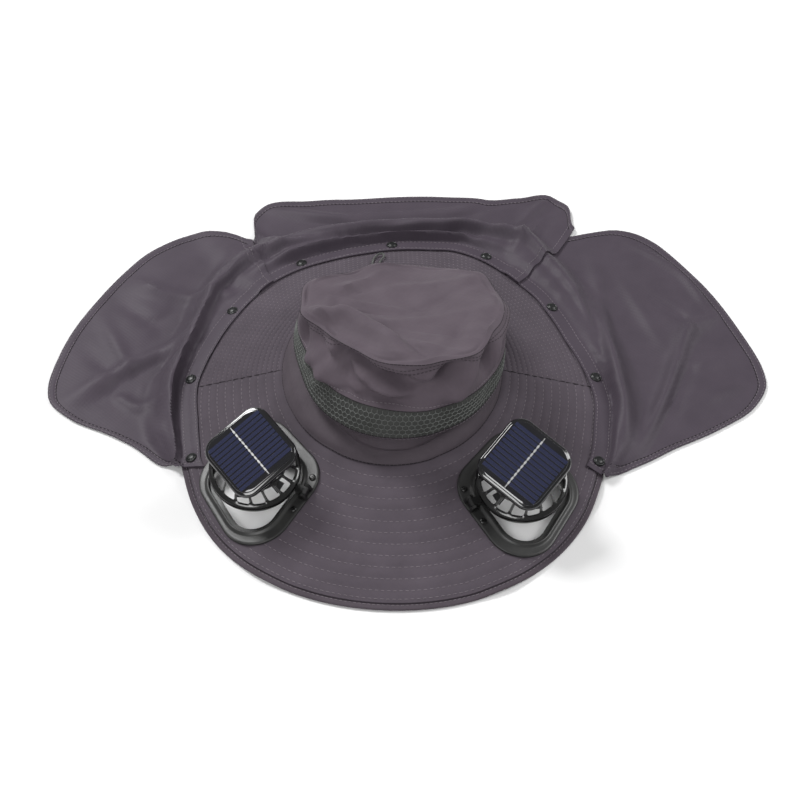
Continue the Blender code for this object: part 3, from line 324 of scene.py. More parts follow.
# Folds where the flap leaves the brim: line angle, inner edge and crest as shares of STRIP_REACH,
# crest height as a share of FOLD_RISE, then place between strip and crest and height share of an
# inner ridge and of the dip behind it, and how far the line turns by the outer edge in degrees
FLAP_FOLDS = (
    (-29, 1.108, 1.195, 0.34, 0.35, 0.28, 0.70, 0.32, 0.0),
    (-22, 1.090, 1.195, 0.42, 0.35, 0.30, 0.70, 0.38, 0.0),
    (-14, 1.062, 1.175, 0.52, 0.35, 0.36, 0.70, 0.48, 0.0),
    (-6, 1.050, 1.155, 0.60, 0.35, 0.40, 0.70, 0.54, 1.0),
    (2, 1.020, 1.150, 0.66, 0.35, 0.42, 0.70, 0.58, 2.8),
    (10, 0.988, 1.142, 0.68, 0.35, 0.50, 0.70, 0.62, 3.0),
    (20, 0.960, 1.150, 0.68, 0.35, 0.55, 0.70, 0.60, 3.8),
    (30, 0.965, 1.185, 0.70, 0.35, 0.62, 0.70, 0.58, 4.6),
    (38, 0.980, 1.220, 0.74, 0.35, 0.70, 0.70, 0.62, 5.0),
    (46, 0.988, 1.265, 0.82, 0.35, 0.76, 0.70, 0.66, 5.1),
    (54, 1.008, 1.310, 0.96, 0.35, 0.74, 0.65, 0.76, 4.2),
    (62, 1.030, 1.280, 1.00, 0.32, 0.88, 0.62, 0.74, 2.8),
    (70, 1.040, 1.225, 1.00, 0.30, 0.96, 0.60, 0.76, 1.0),
    (79, 1.006, 1.175, 1.00, 0.30, 0.98, 0.62, 0.74, 0.0),
    (90, 0.985, 1.145, 0.98, 0.28, 0.98, 0.62, 0.74, 0.0),
    (100, 0.968, 1.145, 0.96, 0.28, 0.96, 0.62, 0.72, -1.5),
    (110, 0.970, 1.165, 0.94, 0.30, 0.94, 0.62, 0.68, -4.0),
    (121, 0.985, 1.205, 0.90, 0.30, 0.86, 0.60, 0.62, -6.0),
    (131, 0.990, 1.245, 0.80, 0.34, 0.60, 0.62, 0.46, -7.2),
    (141, 0.975, 1.210, 0.72, 0.40, 0.40, 0.75, 0.42, -5.0),
    (151, 0.965, 1.150, 0.68, 0.40, 0.34, 0.78, 0.45, -2.0),
    (161, 0.968, 1.108, 0.68, 0.40, 0.32, 0.78, 0.48, -0.5),
    (171, 0.985, 1.112, 0.68, 0.40, 0.32, 0.78, 0.48, 0.0),
    (181, 1.008, 1.122, 0.64, 0.40, 0.31, 0.78, 0.46, 0.0),
    (191, 1.012, 1.140, 0.58, 0.40, 0.31, 0.78, 0.42, 0.0),
    (201, 1.040, 1.150, 0.46, 0.40, 0.30, 0.78, 0.36, 0.0),
    (211, 1.085, 1.150, 0.34, 0.40, 0.28, 0.78, 0.30, -5.0),
)

# Outer edges of the flap's panels: line angle, length past the strip's inner edge as a share of
# FLAP_LENGTH
RIGHT_OUTLINE = (
    (-29, 0.116), (-24, 0.198), (-19, 0.312), (-14, 0.443), (-9, 0.635), (-4, 0.841), (0, 0.933),
    (4, 0.945), (11, 0.941), (18, 0.947), (26, 0.931), (32, 0.923), (36, 0.895), (40, 0.824),
    (43, 0.701), (46, 0.578), (51, 0.473),
)
BACK_OUTLINE = (
    (46, 0.663), (51, 0.787), (56, 0.808), (62, 0.691), (70, 0.595), (78, 0.591), (90, 0.581),
    (100, 0.596), (106, 0.616), (113, 0.639), (121, 0.683), (126, 0.633), (131, 0.434),
    (136, 0.411),
)
LEFT_OUTLINE = (
    (131, 0.434), (134, 0.576), (137, 0.676), (141, 0.742), (147, 0.786), (156, 0.791),
    (166, 0.806), (176, 0.800), (181, 0.778), (186, 0.656), (191, 0.462), (196, 0.330),
    (201, 0.248), (206, 0.177), (211, 0.114),
)

# Panels: name, first and last line, outline, wrinkles, and where a lapped edge rides
# A wrinkle is: line angle, share of the way out, spread in degrees, spread in share, height share
RIGHT_WRINKLES = ((14, 0.50, 9, 0.22, 0.10), (-2, 0.45, 7, 0.30, 0.08), (30, 0.55, 6, 0.25, 0.07))
BACK_WRINKLES = ((100, 0.60, 12, 0.30, 0.05), (72, 0.55, 9, 0.30, 0.08))
LEFT_WRINKLES = (
    (160, 0.40, 9, 0.30, 0.13), (178, 0.55, 7, 0.25, 0.10), (147, 0.50, 6, 0.30, 0.07),
)
PANELS = (
    ("flap_right", -29.0, 51.0, RIGHT_OUTLINE, RIGHT_WRINKLES, ()),
    ("flap_back", 46.0, 136.0, BACK_OUTLINE, BACK_WRINKLES, (46.0, 51.0)),
    ("flap_left", 131.0, 211.0, LEFT_OUTLINE, LEFT_WRINKLES, (131.0, 136.0)),
)

# Flange outline and air opening: corners across and along from the fan's middle, as shares of
# RING_RADIUS
FLANGE_CORNERS = ((-1.556, -0.028), (0.069, -2.403), (1.500, 0.111), (0.069, 2.083))
OPENING_CORNERS = ((-1.139, -0.056), (0.097, -1.903), (1.228, 0.056), (0.069, 1.556))

# Screws beside the hinge: place, distance along the pin's line and from the fan's middle, as shares
# of RING_RADIUS
SCREWS = (("front", 0.431, 1.139), ("back", -0.417, 1.153))

# Route of the drawcord loop: across, back, height over the brim
CORD_ROUTE = (
    (-0.0170, 0.1060, 0.0080), (-0.0172, 0.1120, 0.0045), (-0.0175, 0.1200, 0.0014),
    (-0.0178, 0.1290, 0.0013), (-0.0175, 0.1370, 0.0013), (-0.0160, 0.1450, 0.0016),
    (-0.0120, 0.1500, 0.0026), (-0.0080, 0.1490, 0.0030), (-0.0080, 0.1440, 0.0026),
    (-0.0110, 0.1380, 0.0014), (-0.0125, 0.1290, 0.0013), (-0.0120, 0.1200, 0.0014),
    (-0.0118, 0.1120, 0.0045), (-0.0118, 0.1060, 0.0080),
)


# Tables and angles


def read_table(rows, column, angle, period=None):
    """Smooth value of a table's column at an angle, through its rows, flat past its ends."""
    angles = [row[0] for row in rows]
    values = [row[column] for row in rows]
    if period:
        before = [angles[-2] - period, angles[-1] - period]
        angles = before + angles + [angles[0] + period, angles[1] + period]
        values = values[-2:] + values + values[:2]
        angle = (angle - rows[0][0]) % period + rows[0][0]
    if angle <= angles[0]:
        return values[0]
    if angle >= angles[-1]:
        return values[-1]
    i = max(k for k in range(len(angles) - 1) if angles[k] <= angle)
    span = angles[i + 1] - angles[i]
    share = (angle - angles[i]) / span

    def slope(k):
        if k == 0 or k == len(angles) - 1:
            return 0.0
        near = (values[k] - values[k - 1]) / (angles[k] - angles[k - 1])
        far = (values[k + 1] - values[k]) / (angles[k + 1] - angles[k])
        if near * far <= 0:
            return 0.0
        return 2 * near * far / (near + far)

    s2 = share * share
    s3 = s2 * share
    return (
        (2 * s3 - 3 * s2 + 1) * values[i]
        + (s3 - 2 * s2 + share) * span * slope(i)
        + (3 * s2 - 2 * s3) * values[i + 1]
        + (s3 - s2) * span * slope(i + 1)
    )


def direction(angle):
    turn = math.radians(angle)
    return Vector((math.cos(turn), math.sin(turn), 0.0))


def angle_between(a, b):
    return abs((a - b + 180.0) % 360.0 - 180.0)


def smooth_share(value):
    value = min(1.0, max(0.0, value))
    return value * value * (3 - 2 * value)


def bump(offset, spread):
    return math.exp(-((offset / spread) ** 2))


# Surfaces shared with the CAD solids


@lru_cache(maxsize=None)
def seam_reach(angle):
    turn = math.radians(angle)
    return 1.0 / math.hypot(math.cos(turn) / HEAD_HALF_WIDTH, math.sin(turn) / HEAD_HALF_LENGTH)


@lru_cache(maxsize=None)
def outline_reach(angle):
    return BRIM_REACH * read_table(BRIM_OUTLINE, 1, angle, 360.0)


@lru_cache(maxsize=None)
def edge_height(angle):
    return BINDING_THICKNESS + GAP + BRIM_EDGE_RISE * read_table(BRIM_OUTLINE, 2, angle, 360.0)


def fan_middle(place):
    return Vector((place[2], place[3], 0.0)) * BRIM_REACH


def fan_angle(place):
    return math.degrees(math.atan2(place[3], place[2]))


@lru_cache(maxsize=None)
def fan_fall(place):
    """Slope of the flat that a fan's stiff flange pulls the brim into, as a vector downhill."""
    angle = fan_angle(place)
    fall = BRIM_SEAM_HEIGHT - edge_height(angle)
    run = (outline_reach(angle) - seam_reach(angle)) * direction(angle).dot(direction(place[4]))
    return direction(place[4]) * (fall / run)


def fan_plane_height(place, x, y):
    """Height of that flat over a point."""
    angle = fan_angle(place)
    offset = Vector((x, y, 0.0)) - direction(angle) * seam_reach(angle)
    return BRIM_SEAM_HEIGHT - fan_fall(place).dot(offset)


def line_height(angle, reach):
    """Height of the brim's upper face along one of its radial lines."""
    share = (reach - seam_reach(angle)) / (outline_reach(angle) - seam_reach(angle))
    height = BRIM_SEAM_HEIGHT + (edge_height(angle) - BRIM_SEAM_HEIGHT) * share
    point = direction(angle) * reach
    for place in FAN_PLACES:
        off = angle_between(angle, fan_angle(place))
        weight = 1.0 - smooth_share((off - FAN_FLAT_HALF_ANGLE) / FAN_FLAT_BLEND)
        if weight > 0:
            height += weight * (fan_plane_height(place, point.x, point.y) - height)
    return height


def crown_top_plane(x, y):
    return CROWN_TOP_HEIGHT + CROWN_SLUMP * (y - CROWN_TOP_SHIFT_Y)


@lru_cache(maxsize=None)
def crown_rim(angle):
    reach = CROWN_TOP_HALF_SIZE * read_table(TOP_RIM, 1, angle, 360.0)
    point = Vector((CROWN_TOP_SHIFT_X, CROWN_TOP_SHIFT_Y, 0.0)) + direction(angle) * reach
    point.z = crown_top_plane(point.x, point.y)
    return point


def crown_wall_point(angle, level):
    """Outer face of the crown's wall, from the brim seam at level 0 to the top seam at level 1."""
    base = direction(angle) * seam_reach(angle)
    base.z = line_height(angle, seam_reach(angle))
    point = base.lerp(crown_rim(angle), level)
    outward = CROWN_BULGE * math.sin(math.pi * level)
    ends = smooth_share(level / 0.08) * smooth_share((1 - level) / 0.06)
    for place, height, spread, level_spread, depth in CROWN_DENTS:
        reach = bump(angle_between(angle, place), spread) * bump(level - height, level_spread)
        outward -= DENT_DEPTH * depth * reach * ends
    return point + direction(angle) * outward


def top_fold(x, y):
    height = 0.0
    for across, along, turn, length, width, share in TOP_FOLDS:
        offset = Vector((x, y, 0.0)) / CROWN_TOP_HALF_SIZE - Vector((across, along, 0.0))
        axis = direction(turn)
        far = offset.dot(axis) / length
        side = offset.cross(axis).z / width
        height += share * TOP_FOLD_HEIGHT * bump(far, 1.0) * bump(side, 1.0)
    return height


def flap_cover(angle, reach):
    """Lowest height the flap's upper face may have over the brim."""
    limit = outline_reach(angle)
    over_brim = line_height(angle, min(reach, limit)) + CLOTH_CLEARANCE + FLAP_THICKNESS
    past_edge = max(0.0, reach - limit - EDGE_OVERHANG)
    return max(FLAP_THICKNESS, over_brim - EDGE_FALL * past_edge)


@lru_cache(maxsize=None)
def flap_stations(line, outline):
    """Reach and height of the flap's upper face along one line, from strip to outer edge."""
    columns = [read_table(FLAP_FOLDS, c, line) for c in range(1, 9)]
    inner, crest, crest_height, ridge_place, ridge, dip_place, dip, lean = columns
    start = STRIP_REACH * inner
    end = start + FLAP_LENGTH * read_table(outline, 1, line)
    strip = start + min(STRIP_WIDTH, 0.7 * (end - start))
    top = min(max(STRIP_REACH * crest, strip + FOLD_SHOULDER), start + 0.85 * (end - start))
    run = min(FOLD_RUN, 0.7 * (end - top))
    stations = [
        (start, 0.0),
        (strip, 0.0),
        (strip + ridge_place * (top - strip), ridge * FOLD_RISE),
        (strip + dip_place * (top - strip), dip * FOLD_RISE),
        (top, crest_height * FOLD_RISE),
        (top + 0.25 * run, 0.82 * crest_height * FOLD_RISE),
        (top + 0.60 * run, 0.34 * crest_height * FOLD_RISE),
        (top + run, FLAP_THICKNESS),
    ]
    for share in (0.34, 0.67, 1.0):
        stations.append((top + run + share * (end - top - run), FLAP_THICKNESS))
    return stations, lean, start, end


def wrinkle_height(wrinkles, line, share):
    height = 0.0
    for place, middle, spread, share_spread, size in wrinkles:
        height += size * bump(line - place, spread) * bump(share - middle, share_spread)
    return height * FOLD_RISE * smooth_share(4 * share) * smooth_share(4 * (1 - share))


def curve_point(p0, p1, p2, p3, share):
    """A point between p1 and p2 on the smooth curve through four points."""
    return 0.5 * (
        2 * p1
        + (p2 - p0) * share
        + (2 * p0 - 5 * p1 + 4 * p2 - p3) * share**2
        + (3 * p1 - p0 - 3 * p2 + p3) * share**3
    )


def fan_base(place):
    """Matrix of the fan's seat: origin on the brim under the fan, +Z square to the brim."""
    x, y = fan_middle(place).xy
    height = fan_plane_height(place, x, y)
    down = fan_fall(place)
    normal = Vector((down.x, down.y, 1.0)).normalized()
    across = (Vector((1, 0, 0)) - normal * normal.x).normalized()
    frame = Matrix((across, normal.cross(across), normal)).transposed().to_4x4()
    return Matrix.Translation(Vector((x, y, height))) @ frame


def hinge_spot(side):
    """The middle of the hinge's pin in the seat's frame, and the axis that the head opens about."""
    toward = direction(HINGE_ANGLE)
    height = FLANGE_TOP + KNUCKLE_RADIUS + LIP_HEIGHT
    spot = Vector((side * toward.x, toward.y, 0.0)) * HINGE_DISTANCE + Vector((0, 0, height))
    axis = direction(HINGE_ANGLE + 90)
    return spot, Vector((axis.x, side * axis.y, 0.0))


def rounded_outline(corners, radius, height, steps):
    """Closed outline through corners, each rounded with an arc, counter-clockwise."""
    points = []
    count = len(corners)
    for k in range(count):
        corner = Vector((corners[k][0], corners[k][1]))
        before = (Vector(corners[k - 1][:2]) - corner).normalized()
        after = (Vector(corners[(k + 1) % count][:2]) - corner).normalized()
        half = before.angle(after) / 2
        middle = corner + (before + after).normalized() * (radius / math.sin(half))
        start = corner + before * (radius / math.tan(half)) - middle
        sweep = math.pi - 2 * half
        for s in range(steps + 1):
            turn = Matrix.Rotation(sweep * s / steps, 2)
            point = middle + turn @ start
            points.append(Vector((point.x, point.y, height)))
    return points


def grown(outline, amount):
    """The outline moved outward by an amount, seen from above."""
    count = len(outline)
    moved = []
    for k in range(count):
        along = (outline[(k + 1) % count] - outline[k - 1]).normalized()
        moved.append(outline[k] + Vector((along.y, -along.x, 0.0)) * amount)
    return moved


def square(side, radius, height):
    half = side / 2
    corners = ((-half, -half), (half, -half), (half, half), (-half, half))
    return rounded_outline(corners, radius, height, PANEL_CORNER_STEPS)


def ring_outline(corners, radius, steps):
    """Rounded outline through corners that are given as shares of RING_RADIUS."""
    return rounded_outline([Vector(corner) * RING_RADIUS for corner in corners], radius, 0.0, steps)


def lifted(points, height):
    return [p + Vector((0, 0, height)) for p in points]


def join_rings(bm, rings, closed=False):
    """Faces between rings of vertices. The last ring joins the first, or else both get a cap."""
    pairs = list(zip(rings, rings[1:]))
    if closed:
        pairs.append((rings[-1], rings[0]))
    for first, second in pairs:
        for k in range(len(first)):
            n = (k + 1) % len(first)
            bm.faces.new((first[k], first[n], second[n], second[k]))
    if not closed:
        bm.faces.new(list(reversed(rings[0])))
        bm.faces.new(rings[-1])


def stack(loops, ring=False):
    """Closed body through a stack of loops of points."""
    bm = bmesh.new()
    join_rings(bm, [[bm.verts.new(p) for p in loop] for loop in loops], ring)
    bmesh.ops.recalc_face_normals(bm, faces=bm.faces)
    return bm


def circle(radius, height, sides):
    return [radius * direction(360.0 * k / sides) + Vector((0, 0, height)) for k in range(sides)]


def turned(profile, sides):
    """Solid of revolution through (radius, height) pairs, bottom to top."""
    return stack([circle(radius, height, sides) for radius, height in profile])


def flip_side(bm, side):
    """Mirrors a body made for the right fan when it is for the left one."""
    if side < 0:
        for v in bm.verts:
            v.co.x = -v.co.x
        bmesh.ops.reverse_faces(bm, faces=bm.faces)
    return bm


def hinge_frame(side):
    """Rotation to the seat from a piece's frame, X along the pin and Y away over the fan."""
    spot, axis = hinge_spot(side)
    away = -Vector((spot.x, spot.y, 0.0)).normalized()
    return Matrix((axis, away, Vector((0, 0, 1)))).transposed()


def guard_profile(inset):
    """Outer or inner face of the guard, from the ring's foot over its shoulder to the hub."""
    outer = RING_RADIUS - inset
    return (
        (outer, 0.0),
        (outer, RING_HEIGHT - 0.5 * inset),
        (0.90 * RING_RADIUS - 0.5 * inset, RING_HEIGHT + 0.10 * GUARD_RISE - 0.9 * inset),
        (0.73 * RING_RADIUS - 0.2 * inset, RING_HEIGHT + 0.62 * GUARD_RISE - inset),
        (0.67 * RING_RADIUS - 0.1 * inset, RING_HEIGHT + 0.70 * GUARD_RISE - inset),
        (HUB_RADIUS, RING_HEIGHT + GUARD_RISE - inset),
        (0.3 * HUB_RADIUS, RING_HEIGHT + GUARD_RISE - inset),
    )


# Materials


def add_node_of(tree, kind, inputs=(), vector=None, **settings):
    """A shader node with its settings, its unlinked input values and what drives its vector."""
    node = tree.nodes.new(kind)
    for key, value in settings.items():
        setattr(node, key, value)
    for key, value in dict(inputs).items():
        node.inputs[key].default_value = value
    if vector is not None:
        tree.links.new(vector, node.inputs["Vector"])
    return node


def new_material(name, roughness, specular=0.5, sheen=0.0, coat=0.0):
    """A material with its tree, its shader and the object's coordinates."""
    material = bpy.data.materials.new(name)
    material.use_nodes = True
    tree = material.node_tree
    shader = tree.nodes["Principled BSDF"]
    shader.inputs["Roughness"].default_value = roughness
    shader.inputs["Specular IOR Level"].default_value = specular
    shader.inputs["Sheen Weight"].default_value = sheen
    shader.inputs["Sheen Roughness"].default_value = 0.5
    shader.inputs["Coat Weight"].default_value = coat
    return material, tree, shader, add_node_of(tree, "ShaderNodeTexCoord").outputs["Object"]


def ramp_colour(tree, shader, source, span, shades):
    """Base colour that goes from one shade to the other over a span of the source."""
    ramp = add_node_of(tree, "ShaderNodeValToRGB")
    for stop, position, shade in zip(ramp.color_ramp.elements, span, shades):
        stop.position = position
        stop.color = (*shade, 1.0)
    tree.links.new(source, ramp.inputs["Fac"])
    tree.links.new(ramp.outputs["Color"], shader.inputs["Base Color"])


def mottled_colour(tree, shader, place, shades, scale):
    """Base colour that drifts between two shades with a noise of the given scale."""
    settings = {"Scale": scale, "Detail": 6.0, "Roughness": 0.6}
    noise = add_node_of(tree, "ShaderNodeTexNoise", settings, place)
    ramp_colour(tree, shader, noise.outputs["Fac"], MOTTLE_SPAN, shades)


def bump_from(tree, shader, heights, distance, strength=1.0):
    """Bump from a sum of height sources, each with its own share."""
    total = None
    for socket, share in heights:
        part = add_node_of(tree, "ShaderNodeMath", operation="MULTIPLY")
        part.inputs[1].default_value = share
        tree.links.new(socket, part.inputs[0])
        if total is not None:
            both = add_node_of(tree, "ShaderNodeMath", operation="ADD")
            tree.links.new(total.outputs[0], both.inputs[0])
            tree.links.new(part.outputs[0], both.inputs[1])
            part = both
        total = part
    relief = add_node_of(tree, "ShaderNodeBump", {"Strength": strength, "Distance": distance})
    tree.links.new(total.outputs[0], relief.inputs["Height"])
    tree.links.new(relief.outputs["Normal"], shader.inputs["Normal"])


def crossed_threads(tree, place, turns, inputs, **settings):
    """Height sources for two sets of threads that cross, each turned its own way."""
    heights = []
    for turn in turns:
        mapping = add_node_of(tree, "ShaderNodeMapping", {"Rotation": turn}, place)
        wave = add_node_of(tree, "ShaderNodeTexWave", inputs, mapping.outputs["Vector"], **settings)
        heights.append((wave.outputs["Fac"], 0.5))
    return heights


def cloth_material(name, low, high, roughness=0.72, sheen=0.03, thread=0.0006, slub=0.35):
    """Woven polyester: two crossed sets of threads, slubs, and a slow drift of shade."""
    material, tree, shader, place = new_material(name, roughness, 0.25, sheen)
    mottled_colour(tree, shader, place, (low, high), CLOTH_DRIFT_SCALE)
    turns = [(0.35, 0.0, math.radians(turn)) for turn in (40.0, -50.0)]
    waves = {"Scale": 1.0 / (thread * 2 * math.pi) / 3.2, "Distortion": 0.6, "Detail": 1.0}
    heights = crossed_threads(tree, place, turns, waves)
    grain = add_node_of(tree, "ShaderNodeTexNoise", {"Scale": 900.0, "Detail": 3.0}, place)
    heights.append((grain.outputs["Fac"], slub))
    bump_from(tree, shader, heights, WEAVE_DEPTH, 0.6)
    return material


def plastic_material(name, low, high, roughness, grain_scale, grain=0.00004, coat=0.0):
    """Moulded plastic: fine moulded grain, faint scuffs and a roughness that drifts."""
    material, tree, shader, place = new_material(name, roughness, coat=coat)
    mottled_colour(tree, shader, place, (low, high), PLASTIC_DRIFT_SCALE)
    scuffs = {"Scale": 220.0, "Detail": 5.0, "Roughness": 0.7}
    scuff = add_node_of(tree, "ShaderNodeTexNoise", scuffs, place)
    limits = {"To Min": 0.75 * roughness, "To Max": 1.3 * roughness}
    spread = add_node_of(tree, "ShaderNodeMapRange", limits)
    tree.links.new(scuff.outputs["Fac"], spread.inputs["Value"])
    tree.links.new(spread.outputs["Result"], shader.inputs["Roughness"])
    pits = add_node_of(tree, "ShaderNodeTexNoise", {"Scale": grain_scale, "Detail": 2.0}, place)
    bump_from(tree, shader, [(pits.outputs["Fac"], 1.0)], grain)
    return material


def wafer_material():
    """Dark blue silicon with fine printed fingers across each wafer, under clear resin."""
    material, tree, shader, place = new_material("silicon_wafer", 0.22, coat=0.7)
    shader.inputs["Coat Roughness"].default_value = 0.05
    fingers = {"Scale": 420.0, "Distortion": 0.0}
    wave = add_node_of(tree, "ShaderNodeTexWave", fingers, place, bands_direction="X")
    shades = ((0.007, 0.009, 0.034), (0.024, 0.031, 0.086))
    ramp_colour(tree, shader, wave.outputs["Fac"], (0.55, 0.95), shades)
    flakes = add_node_of(tree, "ShaderNodeTexVoronoi", {"Scale": 260.0}, place)
    bump_from(tree, shader, [(flakes.outputs["Distance"], 1.0)], 0.00002)
    return material


def metal_material(name, shade, roughness):
    """Bare metal, finely brushed."""
    material, tree, shader, place = new_material(name, roughness)
    shader.inputs["Metallic"].default_value = 1.0
    mottled_colour(tree, shader, place, ([0.8 * s for s in shade], shade), 300.0)
    brush = add_node_of(tree, "ShaderNodeTexNoise", {"Scale": 1500.0, "Detail": 2.0}, place)
    bump_from(tree, shader, [(brush.outputs["Fac"], 1.0)], 0.00003)
    return material


def cord_material():
    """Round braid: two crossed helices of strands."""
    material, tree, shader, place = new_material("elastic_braid", 0.8, 0.3, 0.3)
    mottled_colour(tree, shader, place, ((0.040, 0.042, 0.040), (0.090, 0.092, 0.086)), 500.0)
    turns = [(math.radians(turn), 0.0, 0.0) for turn in (35.0, -35.0)]
    heights = crossed_threads(tree, place, turns, {"Scale": 500.0}, bands_direction="Y")
    bump_from(tree, shader, heights, 0.0002)
    return material


# Key, name, darker and lighter shade, then roughness, sheen, thread width and slub where given
CLOTHS = (
    ("crown", "crown_cloth", (0.086, 0.067, 0.083), (0.108, 0.086, 0.104)),
    ("brim", "brim_cloth", (0.072, 0.059, 0.073), (0.090, 0.074, 0.091), 0.78),
    ("flap", "flap_cloth", (0.058, 0.046, 0.061), (0.069, 0.055, 0.072), 0.56, 0.02, 0.0004, 0.2),
    ("band", "band_cloth", (0.066, 0.053, 0.064), (0.084, 0.068, 0.081)),
    ("backing", "vent_backing", (0.044, 0.045, 0.043), (0.060, 0.062, 0.059)),
    ("net", "vent_net", (0.115, 0.122, 0.116), (0.175, 0.184, 0.176), 0.6, 0.05, 0.0003),
    ("thread", "sewing_thread", (0.150, 0.130, 0.148), (0.205, 0.180, 0.202), 0.6, 0.05, 0.0002),
    ("dark_thread", "crown_thread", (0.030, 0.024, 0.029), (0.045, 0.036, 0.044), 0.7),
    # seam_shadow: near-black strands of painted shade, laid in the grooves where cloth is sewn
    # together and along the hem's step
    ("seam", "seam_shadow", (0.012, 0.009, 0.012), (0.022, 0.018, 0.022), 0.8),
    ("binding", "binding_tape", (0.064, 0.051, 0.063), (0.082, 0.067, 0.081), 0.8),
)
# Key, name, darker and lighter shade, roughness, scale of the grain, then its depth and the coat
PLASTICS = (
    ("flange", "flange_plastic", (0.020, 0.020, 0.020), (0.030, 0.030, 0.029), 0.38, 1400.0),
    ("gloss", "guard_plastic", (0.005,) * 3, (0.009,) * 3, 0.20, 900.0, 0.00002, 0.4),
    ("hinge", "hinge_plastic", (0.006,) * 3, (0.010,) * 3, 0.32, 1200.0),
    ("rotor", "rotor_plastic", (0.012, 0.012, 0.013), (0.020, 0.020, 0.021), 0.40, 1200.0),
    ("tray", "tray_plastic", (0.004, 0.004, 0.005), (0.008, 0.008, 0.009), 0.12, 700.0, 0.00002,
     0.6),
    ("snap", "snap_plastic", (0.007, 0.008, 0.008), (0.013, 0.014, 0.014), 0.36, 1500.0),
    ("resin", "cell_resin", (0.003, 0.003, 0.005), (0.006, 0.006, 0.009), 0.06, 500.0, 0.00001,
     0.8),
)
# Key, name, shade, roughness
METALS = (
    ("busbar", "tinned_busbar", (0.85, 0.85, 0.85), 0.40),
    ("screw", "blackened_screw", (0.060, 0.060, 0.060), 0.34),
    ("motor", "motor_can", (0.25, 0.25, 0.25), 0.30),
)


def make_materials():
    made = {"wafer": wafer_material(), "cord": cord_material()}
    kinds = ((cloth_material, CLOTHS), (plastic_material, PLASTICS), (metal_material, METALS))
    for make, rows in kinds:
        for key, *row in rows:
            made[key] = make(*row)
    return made


# Meshes


def new_object(name, data):
    thing = bpy.data.objects.new(name, data)
    bpy.context.scene.collection.objects.link(thing)
    return thing


def new_mesh(name, bm):
    mesh = bpy.data.meshes.new(name)
    bm.to_mesh(mesh)
    bm.free()
    return mesh


def add_piece(name, bm, material, replaced=None, body="hat", matrix=None, angle=40.0):
    """A visible piece from a bmesh, riding on a CAD body. Edges sharper than angle stay sharp."""
    mesh = new_mesh(name, bm)
    mesh.shade_smooth()
    mesh.set_sharp_from_angle(angle=math.radians(angle))
    mesh.materials.append(MATERIALS[material])
    piece = new_object(name, mesh)
    if matrix is not None:
        piece.matrix_world = matrix
    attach(piece, body)
    if replaced:
        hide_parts(replaced)
    return piece


def shell(outer, inner, wrap=False, keep=None):
    """Closed body between two grids of points. Rows run along the first index, wrap closes them,
    and keep says which cells of the grid are there."""
    rows = len(outer)
    columns = len(outer[0])
    bm = bmesh.new()
    top = [[bm.verts.new(p) for p in row] for row in outer]
    low = [[bm.verts.new(p) for p in row] for row in inner]
    row_cells = rows if wrap else rows - 1

    def present(i, j):
        if wrap:
            i %= rows
        if i < 0 or j < 0 or i >= row_cells or j >= columns - 1:
            return False
        return keep is None or keep(i, j)

    for i in range(row_cells):
        n = (i + 1) % rows
        for j in range(columns - 1):
            if not present(i, j):
                continue
            bm.faces.new((top[i][j], top[i][j + 1], top[n][j + 1], top[n][j]))
            bm.faces.new((low[i][j], low[n][j], low[n][j + 1], low[i][j + 1]))
            if not present(i, j - 1):
                bm.faces.new((top[i][j], top[n][j], low[n][j], low[i][j]))
            if not present(i, j + 1):
                bm.faces.new((top[n][j + 1], top[i][j + 1], low[i][j + 1], low[n][j + 1]))
            if not present(i - 1, j):
                bm.faces.new((top[i][j + 1], top[i][j], low[i][j], low[i][j + 1]))
            if not present(i + 1, j):
                bm.faces.new((top[n][j], top[n][j + 1], low[n][j + 1], low[n][j]))
    loose = [v for v in bm.verts if not v.link_faces]
    bmesh.ops.delete(bm, geom=loose, context="VERTS")
    bmesh.ops.recalc_face_normals(bm, faces=bm.faces)
    return bm


def add_stitch(bm, middle, along, up, length, width):
    """One stitch: a thread that dips into the cloth at both ends."""
    across = up.cross(along).normalized()
    rings = []
    for share, wide, high in STITCH_SECTIONS:
        centre = middle + along * (length * share)
        ring = []
        for side, level in STITCH_CORNERS:
            offset = across * (side * wide * width) + up * ((level + high) * STITCH_RISE)
            ring.append(bm.verts.new(centre + offset))
        rings.append(ring)
    join_rings(bm, rings)


def stitch_line(bm, points, stitch, normals=None, skip=None):
    """Stitches along a line of points, each one's length uneven. skip says where there are none."""
    length, gap, width = stitch
    travelled = 0.0
    wanted = 0.5 * length
    for k in range(len(points) - 1):
        step = (points[k + 1] - points[k]).length
        while travelled + step >= wanted and step > 0:
            middle = points[k].lerp(points[k + 1], (wanted - travelled) / step)
            wanted += length + gap
            if skip and skip(middle):
                continue
            along = (points[k + 1] - points[k]).normalized()
            up = normals[k] if normals else Vector((0, 0, 1))
            add_stitch(bm, middle, along, up, length * random.uniform(*STITCH_SPREAD), width)
        travelled += step


def finish_stitches(name, bm, material="thread"):
    bmesh.ops.recalc_face_normals(bm, faces=bm.faces)
    return add_piece(name, bm, material)


def fold(rows, x, y):
    """Sum of soft folds: place, direction in degrees, half length and half width, height."""
    height = 0.0
    for across, along, turn, length, width, size in rows:
        dx = x - across
        dy = y - along
        axis = direction(turn)
        far = (dx * axis.x + dy * axis.y) / length
        side = (dx * axis.y - dy * axis.x) / width
        if abs(far) < 3 and abs(side) < 3:
            height += size * bump(far, 1.0) * bump(side, 1.0)
    return height


def evenly(first, last, step):
    count = max(1, round((last - first) / step))
    return [first + (last - first) * k / count for k in range(count + 1)]


# Crown

ROUND_ANGLES = evenly(0.0, 360.0, CLOTH_ANGLE_STEP)[:-1]
TOP_EDGE_ROLL = -0.0011

